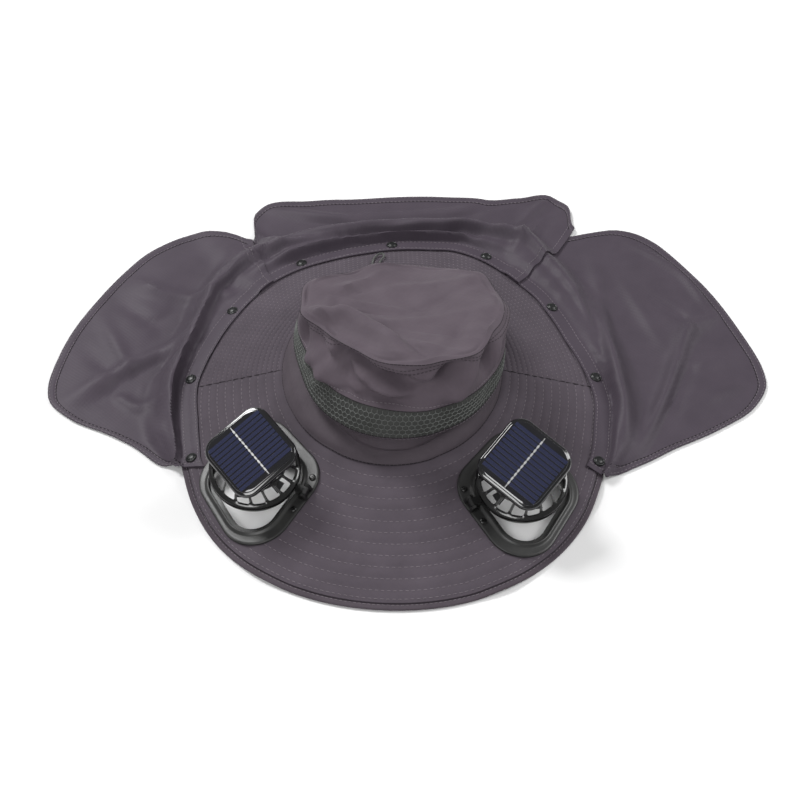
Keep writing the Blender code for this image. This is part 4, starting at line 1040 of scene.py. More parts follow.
# Creases in the crown's wall: angle and level, direction, half length and half width, as shares
# of 15 degrees of angle and of 0.18 of the wall's height, then height as a share of DENT_DEPTH
WALL_CREASES = (
    (254, 0.87, -14, 2.1, 0.38, -1.52), (257, 0.78, -14, 2.0, 0.42, 0.86),
    (238, 0.70, -60, 0.9, 0.40, -0.86), (228, 0.88, 80, 0.8, 0.34, -0.91),
    (222, 0.66, 70, 1.2, 0.45, 0.76), (286, 0.72, 30, 1.3, 0.45, -0.66),
    (302, 0.86, 62, 0.9, 0.36, -1.01), (312, 0.78, 60, 1.0, 0.40, 0.61),
    (326, 0.80, 82, 0.9, 0.36, -0.86), (342, 0.62, 50, 1.6, 0.60, -0.56),
    (18, 0.70, 86, 1.2, 0.60, -0.66), (55, 0.60, 80, 1.6, 0.70, 0.76),
    (92, 0.70, 84, 1.5, 0.60, -0.86), (128, 0.62, 96, 1.7, 0.60, 0.76),
    (158, 0.74, 70, 1.2, 0.45, -1.01), (186, 0.78, 100, 1.0, 0.40, -1.06),
    (205, 0.62, 60, 1.2, 0.50, 0.66), (216, 0.80, -35, 1.0, 0.30, -0.69),
    (245, 0.93, -8, 1.4, 0.22, 0.50), (268, 0.84, 24, 1.2, 0.30, -0.53),
    (280, 0.90, -30, 0.9, 0.28, 0.45), (246, 0.66, 12, 1.3, 0.34, 0.53),
    (264, 0.62, -24, 1.2, 0.30, -0.50), (296, 0.68, -50, 1.0, 0.34, 0.50),
    (333, 0.74, 64, 1.0, 0.30, 0.50),
)
LOWER_CREASES = (
    (212, 0.20, -12, 2.6, 0.20, -0.65), (240, 0.14, -6, 2.6, 0.22, -0.57),
    (262, 0.19, 0, 2.0, 0.20, -0.49), (292, 0.13, 10, 2.4, 0.22, -0.46),
    (320, 0.17, 14, 1.8, 0.20, -0.38), (30, 0.15, 4, 3.0, 0.22, -0.38),
    (110, 0.16, -3, 3.4, 0.22, -0.38), (170, 0.17, 6, 2.6, 0.22, -0.46),
    (232, 0.235, 2, 3.4, 0.13, -0.42), (278, 0.235, -2, 3.2, 0.13, -0.40),
)
# Gathers in the top's cloth along its seam: angle in tens of degrees, height 0, direction,
# sizes, share
TOP_EDGE_PUCKERS = tuple(
    (a / 10.0, 0.0, turn, 0.55, 1.3, size)
    for a, turn, size in (
        (12, 70, 1.0), (33, 100, -0.8), (48, 80, 0.9), (71, 95, -0.6), (95, 85, 0.8),
        (121, 95, -0.7), (139, 75, 1.0), (163, 100, -0.9), (188, 80, 0.8), (211, 95, -0.6),
        (232, 85, 0.5), (262, 92, -0.5), (291, 80, 0.7), (315, 98, -0.8), (338, 85, 0.9),
    )
)
TOP_EDGE_PUFF = 0.0024
TOP_FOLD_GAIN = 1.45
CREASE_ANGLE = 15.0
CREASE_LEVEL = 0.18

# Folds in the crown's top beside the CAD solid's: place, direction, half length and width as
# shares of the top's half size, height as a share of TOP_FOLD_HEIGHT
TOP_CREASES = (
    (-0.48, -0.02, 8, 0.40, 0.05, -0.47), (-0.14, -0.28, -34, 0.42, 0.06, -0.44),
    (0.05, -0.52, -52, 0.40, 0.05, -0.52), (0.25, -0.10, 12, 0.60, 0.07, 0.22),
    (0.45, 0.30, 35, 0.45, 0.06, -0.25), (0.10, 0.55, 8, 0.50, 0.06, 0.24),
    (-0.35, 0.45, 30, 0.40, 0.05, -0.30), (0.62, -0.35, 70, 0.40, 0.06, -0.32),
    (-0.60, 0.30, 60, 0.30, 0.06, 0.30), (0.30, -0.65, -20, 0.30, 0.06, 0.30),
    (-0.20, 0.16, -12, 0.50, 0.05, 0.25), (-0.36, 0.62, 40, 0.30, 0.05, 0.32),
    (0.16, 0.22, -38, 0.36, 0.05, -0.23), (0.40, -0.36, -12, 0.40, 0.05, -0.25),
    (-0.62, 0.02, 84, 0.30, 0.05, -0.28),
)

# Slumps of the crown's rim: angle, spread, rise and outward shift
RIM_SHIFTS = (
    (72, 20, -0.0065, 0.0), (101, 10, 0.0016, 0.0), (119, 9, -0.0024, 0.0),
    (151, 15, 0.0034, 0.0042), (183, 9, 0.0012, 0.0034), (206, 8, -0.0014, -0.0016),
    (231, 10, 0.0012, 0.0008), (262, 14, -0.0016, 0.0010), (296, 9, 0.0014, -0.0012),
    (318, 8, -0.0014, 0.0010), (338, 9, 0.0012, -0.0022), (3, 9, 0.0020, 0.0018),
    (24, 8, -0.0018, -0.0010), (40, 7, 0.0026, 0.0016),
)


@lru_cache(maxsize=None)
def rim_shift(angle):
    """How far the crown's rim slumps up and outward at an angle."""
    rise = 0.0
    outward = 0.0
    for place, spread, up, out in RIM_SHIFTS:
        near = bump(angle_between(angle, place), spread)
        rise += up * near
        outward += out * near
    return rise, outward


def wall_surface(angle, level):
    """Outer face of the crown's wall with its fine creases."""
    point = crown_wall_point(angle, level)
    lift = 0.0
    for place, height, *crease in LOWER_CREASES if level < LOWER_BAND_SHARE else WALL_CREASES:
        dx = ((angle - place + 180.0) % 360.0 - 180.0) / CREASE_ANGLE
        dy = (level - height) / CREASE_LEVEL
        lift += fold(((0.0, 0.0, *crease),), dx, dy)
    lift *= DENT_DEPTH
    ends = smooth_share(level / 0.06) * smooth_share((1 - level) / 0.05)
    joins = 1.0
    for seam in (LOWER_BAND_SHARE, MESH_END):
        joins *= smooth_share(abs(level - seam) / 0.05)
    rise, outward = rim_shift(angle)
    slump = smooth_share((level - 0.55) / 0.45)
    point.z += rise * slump
    return point + direction(angle) * (lift * ends * joins + outward * slump)


def crown_cloth(name, low, high, levels, material, replaced):
    """One band of the crown's wall, between two levels."""
    outer = []
    inner = []
    for angle in ROUND_ANGLES:
        column = [wall_surface(angle, low + (high - low) * s / levels) for s in range(levels + 1)]
        wall = [p - direction(angle) * CROWN_WALL for p in column]
        for row in (column, wall):
            if low > 0:
                row[0].z += GAP
            else:
                row[0].z = line_height(angle, row[0].xy.length) + CLOTH_CLEARANCE
            if high == 1.0:
                row[-1].z = crown_top_plane(row[-1].x, row[-1].y) + rim_shift(angle)[0]
        outer.append(column)
        inner.append(wall)
    add_piece(name, shell(outer, inner, wrap=True), material, replaced)


def top_surface(angle, share):
    """Upper face of the crown's top at a share of the way from its middle to its rim."""
    rim = crown_rim(angle)
    middle = Vector((CROWN_TOP_SHIFT_X, CROWN_TOP_SHIFT_Y, 0.0))
    rise, outward = rim_shift(angle % 360.0)
    slump = smooth_share((share - 0.45) / 0.55)
    point = middle.lerp(Vector((rim.x, rim.y, 0.0)), share)
    offset = point - middle
    fade = smooth_share((0.975 - share) / 0.12)
    across, along = (offset / CROWN_TOP_HALF_SIZE).xy
    height = TOP_FOLD_GAIN * top_fold(offset.x, offset.y)
    height += TOP_FOLD_HEIGHT * fold(TOP_CREASES, across, along)
    puffed = TOP_EDGE_PUFF * fold(TOP_EDGE_PUCKERS, angle / 10.0, (share - 0.95) / 0.03)
    roll = TOP_EDGE_ROLL * smooth_share((share - 0.972) / 0.028)
    point.z = crown_top_plane(point.x, point.y) + fade * height + puffed + roll
    point.z += GAP + CROWN_WALL + rise * slump
    return point + direction(angle) * (outward * slump)


def crown_top_cloth():
    """The top as rows from its rim inward, closed in the middle by a fan of faces."""
    shares = [1.0, 0.99]
    shares += [0.98 - 0.01 * k for k in range(14)]
    shares += [0.82 - 0.04 * k for k in range(20)]
    outer = [[top_surface(angle, s) for s in shares] for angle in ROUND_ANGLES]
    bm = bmesh.new()
    top = [[bm.verts.new(p) for p in row] for row in outer]
    low = [[bm.verts.new(p) for p in lifted(row, -CROWN_WALL)] for row in outer]
    rows = len(top)
    for k in range(rows):
        n = (k + 1) % rows
        bm.faces.new((top[k][0], low[k][0], low[n][0], top[n][0]))
        for j in range(len(shares) - 1):
            bm.faces.new((top[k][j], top[n][j], top[n][j + 1], top[k][j + 1]))
            bm.faces.new((low[k][j], low[k][j + 1], low[n][j + 1], low[n][j]))
    for grid in (top, low):
        middle = bm.verts.new(sum((row[-1].co for row in grid), Vector()) / rows)
        for k in range(rows):
            pair = (grid[k][-1], grid[(k + 1) % rows][-1], middle)
            bm.faces.new(pair if grid is top else tuple(reversed(pair)))
    bmesh.ops.recalc_face_normals(bm, faces=bm.faces)
    add_piece("crown_top_cloth", bm, "crown", "crown_top")


def vent_net():
    """Honeycomb net over the vent band, knitted in one piece with open cells."""
    low = LOWER_BAND_SHARE + 0.004
    high = MESH_END - 0.002
    columns = 2 * round(2 * math.pi * HEAD_HALF_WIDTH / NET_CELL / 2 / 0.866)
    height = (crown_wall_point(270.0, high) - crown_wall_point(270.0, low)).length
    rows = max(3, round(height / (0.75 * NET_CELL)))
    bm = bmesh.new()

    def spot(column, level):
        angle = 360.0 * column / columns
        point = wall_surface(angle, low + (high - low) * min(1.0, max(0.0, level / rows)))
        return point + direction(angle) * NET_RISE

    def strand(a, b, outward):
        along = (b - a).normalized()
        across = outward.cross(along).normalized() * (0.5 * NET_STRAND)
        out = outward * (0.45 * NET_STRAND)
        corners = [(p + across - out, p - across - out, p + out) for p in (a, b)]
        join_rings(bm, [[bm.verts.new(p) for p in ring] for ring in corners])

    for row in range(rows):
        for k in range(columns):
            column = k + (0.5 if row % 2 else 0.0)
            outward = direction(360.0 * column / columns)
            top = spot(column, row + 0.67)
            strand(spot(column, row), top, outward)
            if row + 1 < rows:
                strand(top, spot(column - 0.5, row + 1), outward)
                strand(top, spot(column + 0.5, row + 1), outward)
    bmesh.ops.recalc_face_normals(bm, faces=bm.faces)
    add_piece("vent_net", bm, "net")


def crown_stitches():
    """Pale stitches beside the net, dark ones under the top's seam, and painted shade at the seam
    lines.
    """
    angles = evenly(0.0, 360.0, 1.0)
    outward = [direction(angle) for angle in angles]
    leaning = [(out + Vector((0, 0, 0.25))).normalized() for out in outward]
    for name, material, stitch, normals, rows in (
        ("stitches", "thread", CROWN_STITCH, leaning,
         ((LOWER_BAND_SHARE - 0.025, 0.0), (MESH_END + 0.028, 0.0))),
        ("top_stitches", "dark_thread", CROWN_STITCH, leaning, ((0.925, 0.0), (0.962, 0.0))),
        # The seam lines are near-black strands of painted shade, standing for the shade in the
        # joints of the crown's cloth
        ("seam_shade_lines", "seam", CROWN_SEAM_SHADE, outward,
         ((1.0, GAP), (MESH_END, 0.0), (LOWER_BAND_SHARE, 0.0), (0.008, 0.0002))),
    ):
        bm = bmesh.new()
        for level, lift in rows:
            points = [wall_surface(angle, level) for angle in angles]
            stitch_line(bm, lifted(points, lift), stitch, normals)
        finish_stitches("crown_" + name, bm, material)


def build_crown():
    crown_cloth("lower_band_cloth", 0.0, LOWER_BAND_SHARE, 16, "band", "crown_lower_band")
    crown_cloth("vent_backing", LOWER_BAND_SHARE, MESH_END, 8, "backing", "mesh_band")
    crown_cloth("crown_side_cloth", MESH_END, 1.0, 34, "crown", "crown_side")
    crown_top_cloth()
    vent_net()
    crown_stitches()


# Brim


def brim_surface(angle, share, rows):
    """The brim's face from head seam to binding, puffed up between its rows of stitches."""
    near = seam_reach(angle)
    reach = near + (outline_reach(angle) - BINDING_WIDTH - GAP - near) * share
    point = direction(angle) * reach
    puff = QUILT_PUFF * (abs(math.sin(math.pi * share * rows)) - 0.5)
    point.z = line_height(angle, reach) + puff
    return point


def brim_cloth(name, first, last, rows, cells, replaced):
    """Half of the brim, quilted in lanes, with an allowance under the crown."""
    outer = []
    for angle in evenly(first, last, CLOTH_ANGLE_STEP):
        near = seam_reach(angle) - SEAM_ALLOWANCE
        allowance = direction(angle) * near
        allowance.z = line_height(angle, near)
        row = [allowance] + [brim_surface(angle, k / cells, rows) for k in range(cells + 1)]
        if angle in (first, last):
            clearance = direction(angle + 90) * GAP / 2
            row = [p + clearance if angle == first else p - clearance for p in row]
        outer.append(row)
    inner = [lifted(row, -BRIM_THICKNESS) for row in outer]
    return add_piece(name, shell(outer, inner), "brim", replaced)


def cut_air_hole(brim, place):
    """Cuts the hole under a fan's flange through the brim's cloth."""
    opening = grown(ring_outline(OPENING_CORNERS, OPENING_CORNER_RADIUS, 5), BRIM_HOLE_MARGIN)
    depth = 10 * BRIM_THICKNESS
    hole = flip_side(stack([lifted(opening, -depth), lifted(opening, depth)]), place[1])
    cutter = new_object("air_hole", new_mesh("air_hole", hole))
    cutter.matrix_world = fan_base(place)
    cut = brim.modifiers.new("air_hole", "BOOLEAN")
    cut.operation = "DIFFERENCE"
    cut.object = cutter
    bpy.context.view_layer.update()
    evaluated = brim.evaluated_get(bpy.context.evaluated_depsgraph_get())
    cut_mesh = bpy.data.meshes.new_from_object(evaluated)
    brim.modifiers.clear()
    brim.data = cut_mesh
    bpy.data.objects.remove(cutter)


def under_flange(point):
    """Whether a place on the brim is covered by a fan's flange."""
    outline = grown(ring_outline(FLANGE_CORNERS, FLANGE_CORNER_RADIUS, 5), STITCH_FROM_FLANGE)
    for place in FAN_PLACES:
        local = fan_base(place).inverted() @ point
        x = local.x * place[1]
        inside = False
        for a, b in zip(outline[-1:] + outline, outline):
            if (a.y > local.y) != (b.y > local.y):
                if x < a.x + (b.x - a.x) * (local.y - a.y) / (b.y - a.y):
                    inside = not inside
        if inside:
            return True
    return False


def stitch_brim(bm, places, rows, stitch, skip=None):
    """Stitches along a line of the brim through (angle, share) places."""
    points = []
    normals = []
    for angle, share in places:
        here = brim_surface(angle, share, rows)
        beside = brim_surface(angle + 0.3, share, rows) - here
        further = brim_surface(angle, share + 0.004, rows) - here
        normal = beside.cross(further)
        points.append(here)
        normals.append((-normal if normal.z < 0 else normal).normalized())
    stitch_line(bm, points, stitch, normals, skip)


def brim_stitches():
    front = bmesh.new()
    for k in range(1, FRONT_ROWS + 1):
        share = k / FRONT_ROWS if k < FRONT_ROWS else 0.978
        places = [(angle, share) for angle in evenly(-179.3, -0.7, 1.0)]
        stitch_brim(front, places, FRONT_ROWS, FRONT_STITCH, under_flange)
    finish_stitches("brim_front_stitches", front)
    back = bmesh.new()
    for k in range(1, BACK_ROWS + 1):
        share = k / BACK_ROWS if k < BACK_ROWS else 0.985
        places = [(angle, share) for angle in evenly(0.7 + 0.8 * (k % 2), 179.3, 1.0)]
        stitch_brim(back, places, BACK_ROWS, BACK_STITCH)
    finish_stitches("brim_back_stitches", back)
    # Near-black strands of painted shade along the brim's side seam lines
    seam_shade_lines = bmesh.new()
    for angle in (0.0, 180.0):
        stitch_brim(seam_shade_lines, [(angle, s) for s in evenly(0.02, 0.98, 0.05)], FRONT_ROWS, SIDE_SEAM_SHADE)
    finish_stitches("brim_side_seam_shade", seam_shade_lines, "seam")


def binding_section(angle):
    """Rounded section of the bias tape round the brim's edge, as points."""
    far = outline_reach(angle)
    near = far - BINDING_WIDTH
    top = line_height(angle, far) - GAP
    middle = top - 0.5 * BINDING_THICKNESS
    section = [(near, top - 0.0003), (near + 0.0008, top), (far - 0.0016, top)]
    for turn in (60, 30, 0, -30, -60):
        reach = far - BINDING_ROUNDING + BINDING_ROUNDING * math.cos(math.radians(turn))
        section.append((reach, middle + 0.5 * BINDING_THICKNESS * math.sin(math.radians(turn))))
    section += [(far - 0.0016, top - BINDING_THICKNESS), (near, top - BINDING_THICKNESS)]
    points = []
    for reach, height in section:
        point = direction(angle) * reach
        point.z = height
        points.append(point)
    return points


def build_binding():
    sections = [binding_section(angle) for angle in ROUND_ANGLES]
    tape = stack([list(loop) for loop in zip(*sections)], ring=True)
    add_piece("binding_tape", tape, "binding", "brim_binding", angle=60.0)
    bm = bmesh.new()
    points = []
    for angle in evenly(0.0, 360.0, 1.0):
        point = direction(angle) * (outline_reach(angle) - BINDING_WIDTH + 0.0012)
        point.z = line_height(angle, outline_reach(angle)) - GAP
        points.append(point)
    stitch_line(bm, points, HEM_STITCH)
    finish_stitches("binding_stitches", bm)


def build_brim():
    front = brim_cloth("brim_front_cloth", -180.0, 0.0, FRONT_ROWS, FRONT_CELLS, "brim_front")
    for place in FAN_PLACES:
        cut_air_hole(front, place)
    brim_cloth("brim_back_cloth", 0.0, 180.0, BACK_ROWS, BACK_CELLS, "brim_back")
    build_binding()
    brim_stitches()


# Neck flap

# Soft wrinkles over the flap's panels: place across and back, direction in degrees, half length and
# half width in metres, height as a share of SOFT_WRINKLE
FLAP_WRINKLES = {
    "flap_right": (
        (0.265, 0.081, 40, 0.023, 0.0070, 1.15), (0.241, 0.035, 71, 0.054, 0.0070, 1.15),
        (0.216, -0.029, 67, 0.046, 0.0070, 1.15), (0.270, 0.062, 40, 0.020, 0.0060, -0.75),
        (0.248, 0.025, 68, 0.043, 0.0060, -0.75), (0.225, -0.032, 67, 0.047, 0.0060, -0.75),
        (0.183, 0.097, 92, 0.072, 0.0065, 0.90), (0.188, 0.016, 95, 0.044, 0.0065, 0.90),
        (0.191, -0.035, 91, 0.029, 0.0065, 0.90), (0.243, 0.160, 136, 0.036, 0.0055, 0.80),
        (0.267, 0.125, 110, 0.027, 0.0055, 0.80), (0.245, 0.096, 133, 0.025, 0.0050, -0.90),
        (0.272, 0.036, 10, 0.030, 0.0050, 0.60), (0.171, 0.083, 100, 0.036, 0.0050, -0.80),
        (0.178, 0.032, 97, 0.038, 0.0050, -0.80), (0.217, 0.096, 109, 0.038, 0.0060, 0.60),
        (0.270, -0.003, 29, 0.026, 0.0055, 0.50),
    ),
    "flap_back": (
        (-0.040, 0.186, 4, 0.085, 0.0070, 1.3), (-0.075, 0.168, 16, 0.050, 0.0060, 1.2),
        (-0.050, 0.177, 8, 0.050, 0.0045, -1.3), (0.055, 0.186, -8, 0.060, 0.0065, 1.2),
        (0.070, 0.170, -28, 0.040, 0.0055, -1.0), (0.105, 0.200, 40, 0.045, 0.0060, -0.9),
        (0.120, 0.182, 66, 0.036, 0.0050, 1.3), (-0.118, 0.188, -50, 0.036, 0.0055, 1.2),
        (0.020, 0.226, 4, 0.070, 0.0060, 0.6), (0.128, 0.226, 52, 0.032, 0.0060, 1.0),
        (-0.070, 0.224, -12, 0.050, 0.0065, 0.8), (0.075, 0.228, 34, 0.040, 0.0055, -0.7),
        (0.010, 0.168, 6, 0.040, 0.0045, 0.9), (-0.012, 0.205, -6, 0.055, 0.0050, -0.6),
    ),
    "flap_left": (
        (-0.160, 0.109, 79, 0.061, 0.0065, 0.90), (-0.175, 0.034, 78, 0.049, 0.0065, 0.90),
        (-0.175, -0.029, 103, 0.043, 0.0065, 0.90), (-0.199, 0.045, 35, 0.035, 0.0075, 1.00),
        (-0.238, 0.016, 39, 0.036, 0.0075, 1.00), (-0.193, 0.033, 38, 0.033, 0.0060, -0.70),
        (-0.228, 0.004, 41, 0.033, 0.0060, -0.70), (-0.233, 0.051, 117, 0.039, 0.0055, 0.70),
        (-0.216, 0.127, 146, 0.016, 0.0060, 0.80), (-0.176, 0.114, 168, 0.046, 0.0060, 0.80),
        (-0.224, 0.096, 139, 0.027, 0.0060, -0.60), (-0.199, 0.084, 7, 0.016, 0.0060, -0.60),
        (-0.222, -0.008, 141, 0.019, 0.0055, 0.60), (-0.202, -0.014, 16, 0.016, 0.0055, 0.60),
        (-0.246, 0.033, 132, 0.023, 0.0055, -0.60), (-0.169, 0.080, 79, 0.041, 0.0055, -0.70),
        (-0.190, -0.050, 115, 0.026, 0.0060, 0.50),
    ),
}


def pucker_height(line, share):
    """Small radial puckers between the strip and the crest, uneven round the hat."""
    phase = line / PUCKER_PITCH + 0.6 * math.sin(math.radians(7 * line))
    uneven = 0.55 + 0.45 * math.sin(math.radians(11 * line + 40))
    wave = 0.5 + 0.5 * math.cos(2 * math.pi * phase)
    height = PUCKER_HEIGHT * uneven * wave * wave
    return height * smooth_share(share / 0.3) * smooth_share((1 - share) / 0.7)


@lru_cache(maxsize=None)
def flap_profile(line, outline):
    """Stations of one line with the brim's cover already in their heights."""
    stations, lean, start, end = flap_stations(line, outline)
    raised = []
    for reach, height in stations:
        angle = line + lean * (reach - start) / (end - start)
        raised.append((reach, max(height, flap_cover(angle, reach))))
    return tuple(raised), lean, start, end


def flap_surface(panel, line, reach):
    """Upper face of a flap panel along one of its lines."""
    name, _, _, outline, wrinkles, lapped = panel
    stations, lean, start, end = flap_profile(line, outline)
    strip, crest, foot = (stations[k][0] for k in (1, 4, 7))
    angle = line + lean * (reach - start) / (end - start)
    height = max(read_table(stations, 1, reach), flap_cover(angle, reach))
    point = direction(angle) * reach
    out = (reach - foot) / (end - foot)
    if out > 0:
        height += wrinkle_height(wrinkles, line, out)
    if reach > strip:
        height += pucker_height(line, (reach - strip) / (1.6 * (crest - strip)))
        edge = smooth_share((reach - strip) / 0.010) * smooth_share((end - reach) / 0.012)
        soft = SOFT_WRINKLE * fold(FLAP_WRINKLES[name], point.x, point.y) * edge
        height = max(height + soft, flap_cover(angle, reach))
    hem = smooth_share((reach - (end - HEM_WIDTH)) / 0.0012)
    lift = 0.0
    if lapped:
        lift = LAP_LIFT * (1.0 - smooth_share((line - lapped[1]) / LAP_BLEND))
    point.z = height + lift + HEM_STEP * hem
    return point


def flap_panel(panel):
    """The cloth of a panel, its stitches, and a dark line of painted shade inside its hem."""
    name, first, last, outline = panel[:4]
    outer = []
    for line in evenly(first, last, FLAP_LINE_STEP):
        start, end = flap_profile(line, outline)[2:]
        outer.append([
            flap_surface(panel, line, start + (end - start) * k / (FLAP_POINTS - 1))
            for k in range(FLAP_POINTS)
        ])
    inner = [lifted(row, -FLAP_THICKNESS) for row in outer]
    cloth = add_piece(name + "_cloth", shell(outer, inner), "flap", name)

    def along(margin, side, inset):
        """Points along the inner edge, side 2, or the outer one, side 3, at an inset from it."""
        points = []
        for line in evenly(first + margin, last - margin, FLAP_LINE_STEP):
            points.append(flap_surface(panel, line, flap_profile(line, outline)[side] + inset))
        return points

    bm = bmesh.new()
    rows = ((3, -0.0015), (3, -HEM_WIDTH), (2, 0.0016), (2, STRIP_WIDTH - 0.0020))
    for side, inset in rows:
        stitch_line(bm, along(1.5, side, inset), HEM_STITCH)
    for line in (first + 1.6, last - 1.6):
        start, end = flap_profile(line, outline)[2:]
        reaches = [start + 0.002 + (end - start - 0.004) * k / 59 for k in range(60)]
        stitch_line(bm, [flap_surface(panel, line, reach) for reach in reaches], HEM_STITCH)
    sewn = finish_stitches(name + "_stitches", bm)
    # The dark line inside the hem is painted shade, where the hem's step is shaded
    bm = bmesh.new()
    stitch_line(bm, along(1.0, 3, -HEM_WIDTH - 0.0009), HEM_SEAM_SHADE)
    return cloth, [sewn, finish_stitches(name + "_hem_seam", bm, "seam")]


def build_flap():
    for panel in PANELS:
        cloth, sewn = flap_panel(panel)


# Snaps and drawcord


def build_snaps():
    """Snap caps with a sunken ring, square to the strip that they hold."""
    for k in range(SNAP_COUNT):
        node = "snap_%d" % (k + 1)
        line = SNAP_FIRST_ANGLE + (SNAP_LAST_ANGLE - SNAP_FIRST_ANGLE) * k / (SNAP_COUNT - 1)
        low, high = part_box(node)
        middle = (low + high) / 2
        reach = middle.xy.length
        turn = math.degrees(SNAP_RADIUS / reach)
        slope = direction(line) * (2 * SNAP_RADIUS)
        slope.z = flap_cover(line, reach + SNAP_RADIUS) - flap_cover(line, reach - SNAP_RADIUS)
        across = direction(line + 90) * (2 * SNAP_RADIUS)
        across.z = flap_cover(line + turn, reach) - flap_cover(line - turn, reach)
        up = slope.cross(across).normalized()
        slope.normalize()
        square_up = Matrix((slope, up.cross(slope), up)).transposed().to_4x4()
        matrix = Matrix.Translation(middle - up * (0.5 * SNAP_HEIGHT)) @ square_up
        cap = turned([(r * SNAP_RADIUS, h * SNAP_HEIGHT) for r, h in SNAP_PROFILE], 36)
        add_piece(node + "_cap", cap, "snap", node, matrix=matrix, angle=50.0)


def cord_points():
    """The drawcord's route, over whatever it lies on."""
    knots = []
    for x, y, over in CORD_ROUTE:
        reach = math.hypot(x, y)
        angle = math.degrees(math.atan2(y, x))
        base = line_height(angle, reach)
        if reach > STRIP_REACH * read_table(FLAP_FOLDS, 1, angle) - 2 * CORD_RADIUS:
            base = flap_cover(angle, reach)
        knots.append(Vector((x, y, base + over)))
    points = []
    for k in range(len(knots) - 1):
        before = knots[max(k - 1, 0)]
        after = knots[min(k + 2, len(knots) - 1)]
        for s in range(CORD_STEPS):
            points.append(curve_point(before, knots[k], knots[k + 1], after, s / CORD_STEPS))
    return points + [knots[-1]]


def build_drawcord():
    points = cord_points()
    curve = bpy.data.curves.new("drawcord_braid", "CURVE")
    curve.dimensions = "3D"
    curve.bevel_depth = CORD_RADIUS
    curve.bevel_resolution = 4
    curve.use_fill_caps = True
    spline = curve.splines.new("POLY")
    spline.points.add(len(points) - 1)
    for spot, point in zip(spline.points, points):
        spot.co = (*point, 1.0)
    curve.materials.append(MATERIALS["cord"])
    braid = new_object("drawcord_braid", curve)
    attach(braid, "hat")
    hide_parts("drawcord")


# Fans


def build_flange(place, seat):
    """Moulded flange: a raised lip round the air opening, a soft shoulder and a rounded rim."""
    rim = 0.5 * FLANGE_THICKNESS
    outer = ring_outline(FLANGE_CORNERS, FLANGE_CORNER_RADIUS, FLANGE_CORNER_STEPS)
    inner = ring_outline(OPENING_CORNERS, OPENING_CORNER_RADIUS, FLANGE_CORNER_STEPS)
    loops = [lifted(outer, GAP), lifted(outer, GAP + 0.35 * rim)]
    for turn in (25, 50, 75):
        inward = rim * (1 - math.cos(math.radians(turn)))
        height = FLANGE_TOP - rim * (1 - math.sin(math.radians(turn)))
        loops.append(lifted(grown(outer, -inward), height))
    loops.append(lifted(grown(outer, -2.2 * rim), FLANGE_TOP))
    for out, rise in FLANGE_LIP:
        loops.append(lifted(grown(inner, out * LIP_WIDTH), FLANGE_TOP + rise * LIP_HEIGHT))
    loops += [
        lifted(inner, FLANGE_TOP + LIP_HEIGHT - 0.25 * LIP_HEIGHT),
        lifted(inner, GAP + 0.5 * rim),
        lifted(grown(inner, -LEDGE_WIDTH), GAP + 0.3 * rim),
        lifted(grown(inner, -LEDGE_WIDTH), GAP),
    ]
    bm = flip_side(stack(loops, ring=True), place[1])
    node = place[0] + "_flange"
    add_piece(node + "_moulding", bm, "flange", node, matrix=seat, angle=50.0)


def build_screws(place, seat):
    """Pan-head screws with a cross recess, beside the hinge."""
    name, side = place[:2]
    angles = [360.0 * k / SCREW_SIDES for k in range(SCREW_SIDES)]
    for end, along, out in SCREWS:
        loops = []
        for radius, height, crossed in SCREW_PROFILE:
            loop = []
            for angle in angles:
                cross = 0.72 + 0.28 * math.cos(4 * math.radians(angle)) if crossed else 1.0
                reach = radius * SCREW_RADIUS * cross
                loop.append(reach * direction(angle) + Vector((0, 0, height * SCREW_HEIGHT)))
            loops.append(loop)
        spot = hinge_frame(side) @ (Vector((side * along, -out, 0.0)) * RING_RADIUS)
        spot.z = FLANGE_TOP + GAP
        matrix = seat @ Matrix.Translation(spot)
        node = "%s_screw_%s" % (name, end)
        add_piece(node + "_head", stack(loops), "screw", node,
                  matrix=matrix, angle=50.0)


def finer_profile(coarse):
    """A profile with points added, and where each stretch of the given one starts."""
    profile = []
    starts = []
    for (radius, height), (next_radius, next_height) in zip(coarse, coarse[1:]):
        starts.append(len(profile))
        steps = 3 if next_radius < radius - 0.004 else 2
        for s in range(steps):
            share = s / steps
            profile.append((
                radius + (next_radius - radius) * share, height + (next_height - height) * share,
            ))
    return profile + [coarse[-1]], starts


def build_guard(name, side, middle, tilt):
    """Domed guard: ring, two rows of open cells between slim rounded ribs, and a hub."""
    shares = GUARD_RIB + GUARD_CELL
    shoulder = 0.9 * RING_RADIUS
    grids = []
    for inset in (0.0, GUARD_WALL):
        profile, starts = finer_profile(guard_profile(inset))
        grid = []
        for spoke in range(GUARD_SPOKES):
            for share in shares:
                row = []
                for radius, height in profile:
                    fall = max(0.0, (shoulder - radius) / (shoulder - HUB_RADIUS))
                    turn = 360.0 / GUARD_SPOKES * (spoke + share) + GUARD_SWEEP * min(1.0, fall)
                    row.append(middle + radius * direction(turn) + Vector((0, 0, height)))
                grid.append(row)
        grids.append(grid)
    opened = set(range(starts[2], starts[3])) | set(range(starts[4], starts[5]))

    def keep(k, place):
        return k % len(shares) < len(GUARD_RIB) - 1 or place not in opened

    bm = flip_side(shell(*grids, wrap=True, keep=keep), side)
    guard = add_piece(
        name + "_guard_moulding", bm, "gloss", name + "_guard",
        name + "_fan_head", tilt, 60.0,
    )
    smooth = guard.modifiers.new("rounding", "SUBSURF")
    smooth.levels = 1
    smooth.render_levels = 1


def panel_points(name, points):
    """Points of the panel's own frame in the head's frame."""
    turn = Matrix.Rotation(math.radians(PANEL_TURN), 3, "Z")
    forward, outward = PANEL_TILTS[name]
    tilt_panel = Matrix.Rotation(math.radians(forward), 3, "X")
    tilt_panel = tilt_panel @ Matrix.Rotation(math.radians(outward), 3, "Y")
    pivot = Vector((0, 0, TRAY_BASE + TRAY_NECK_HEIGHT))
    return [pivot + tilt_panel @ (turn @ p - pivot) for p in points]


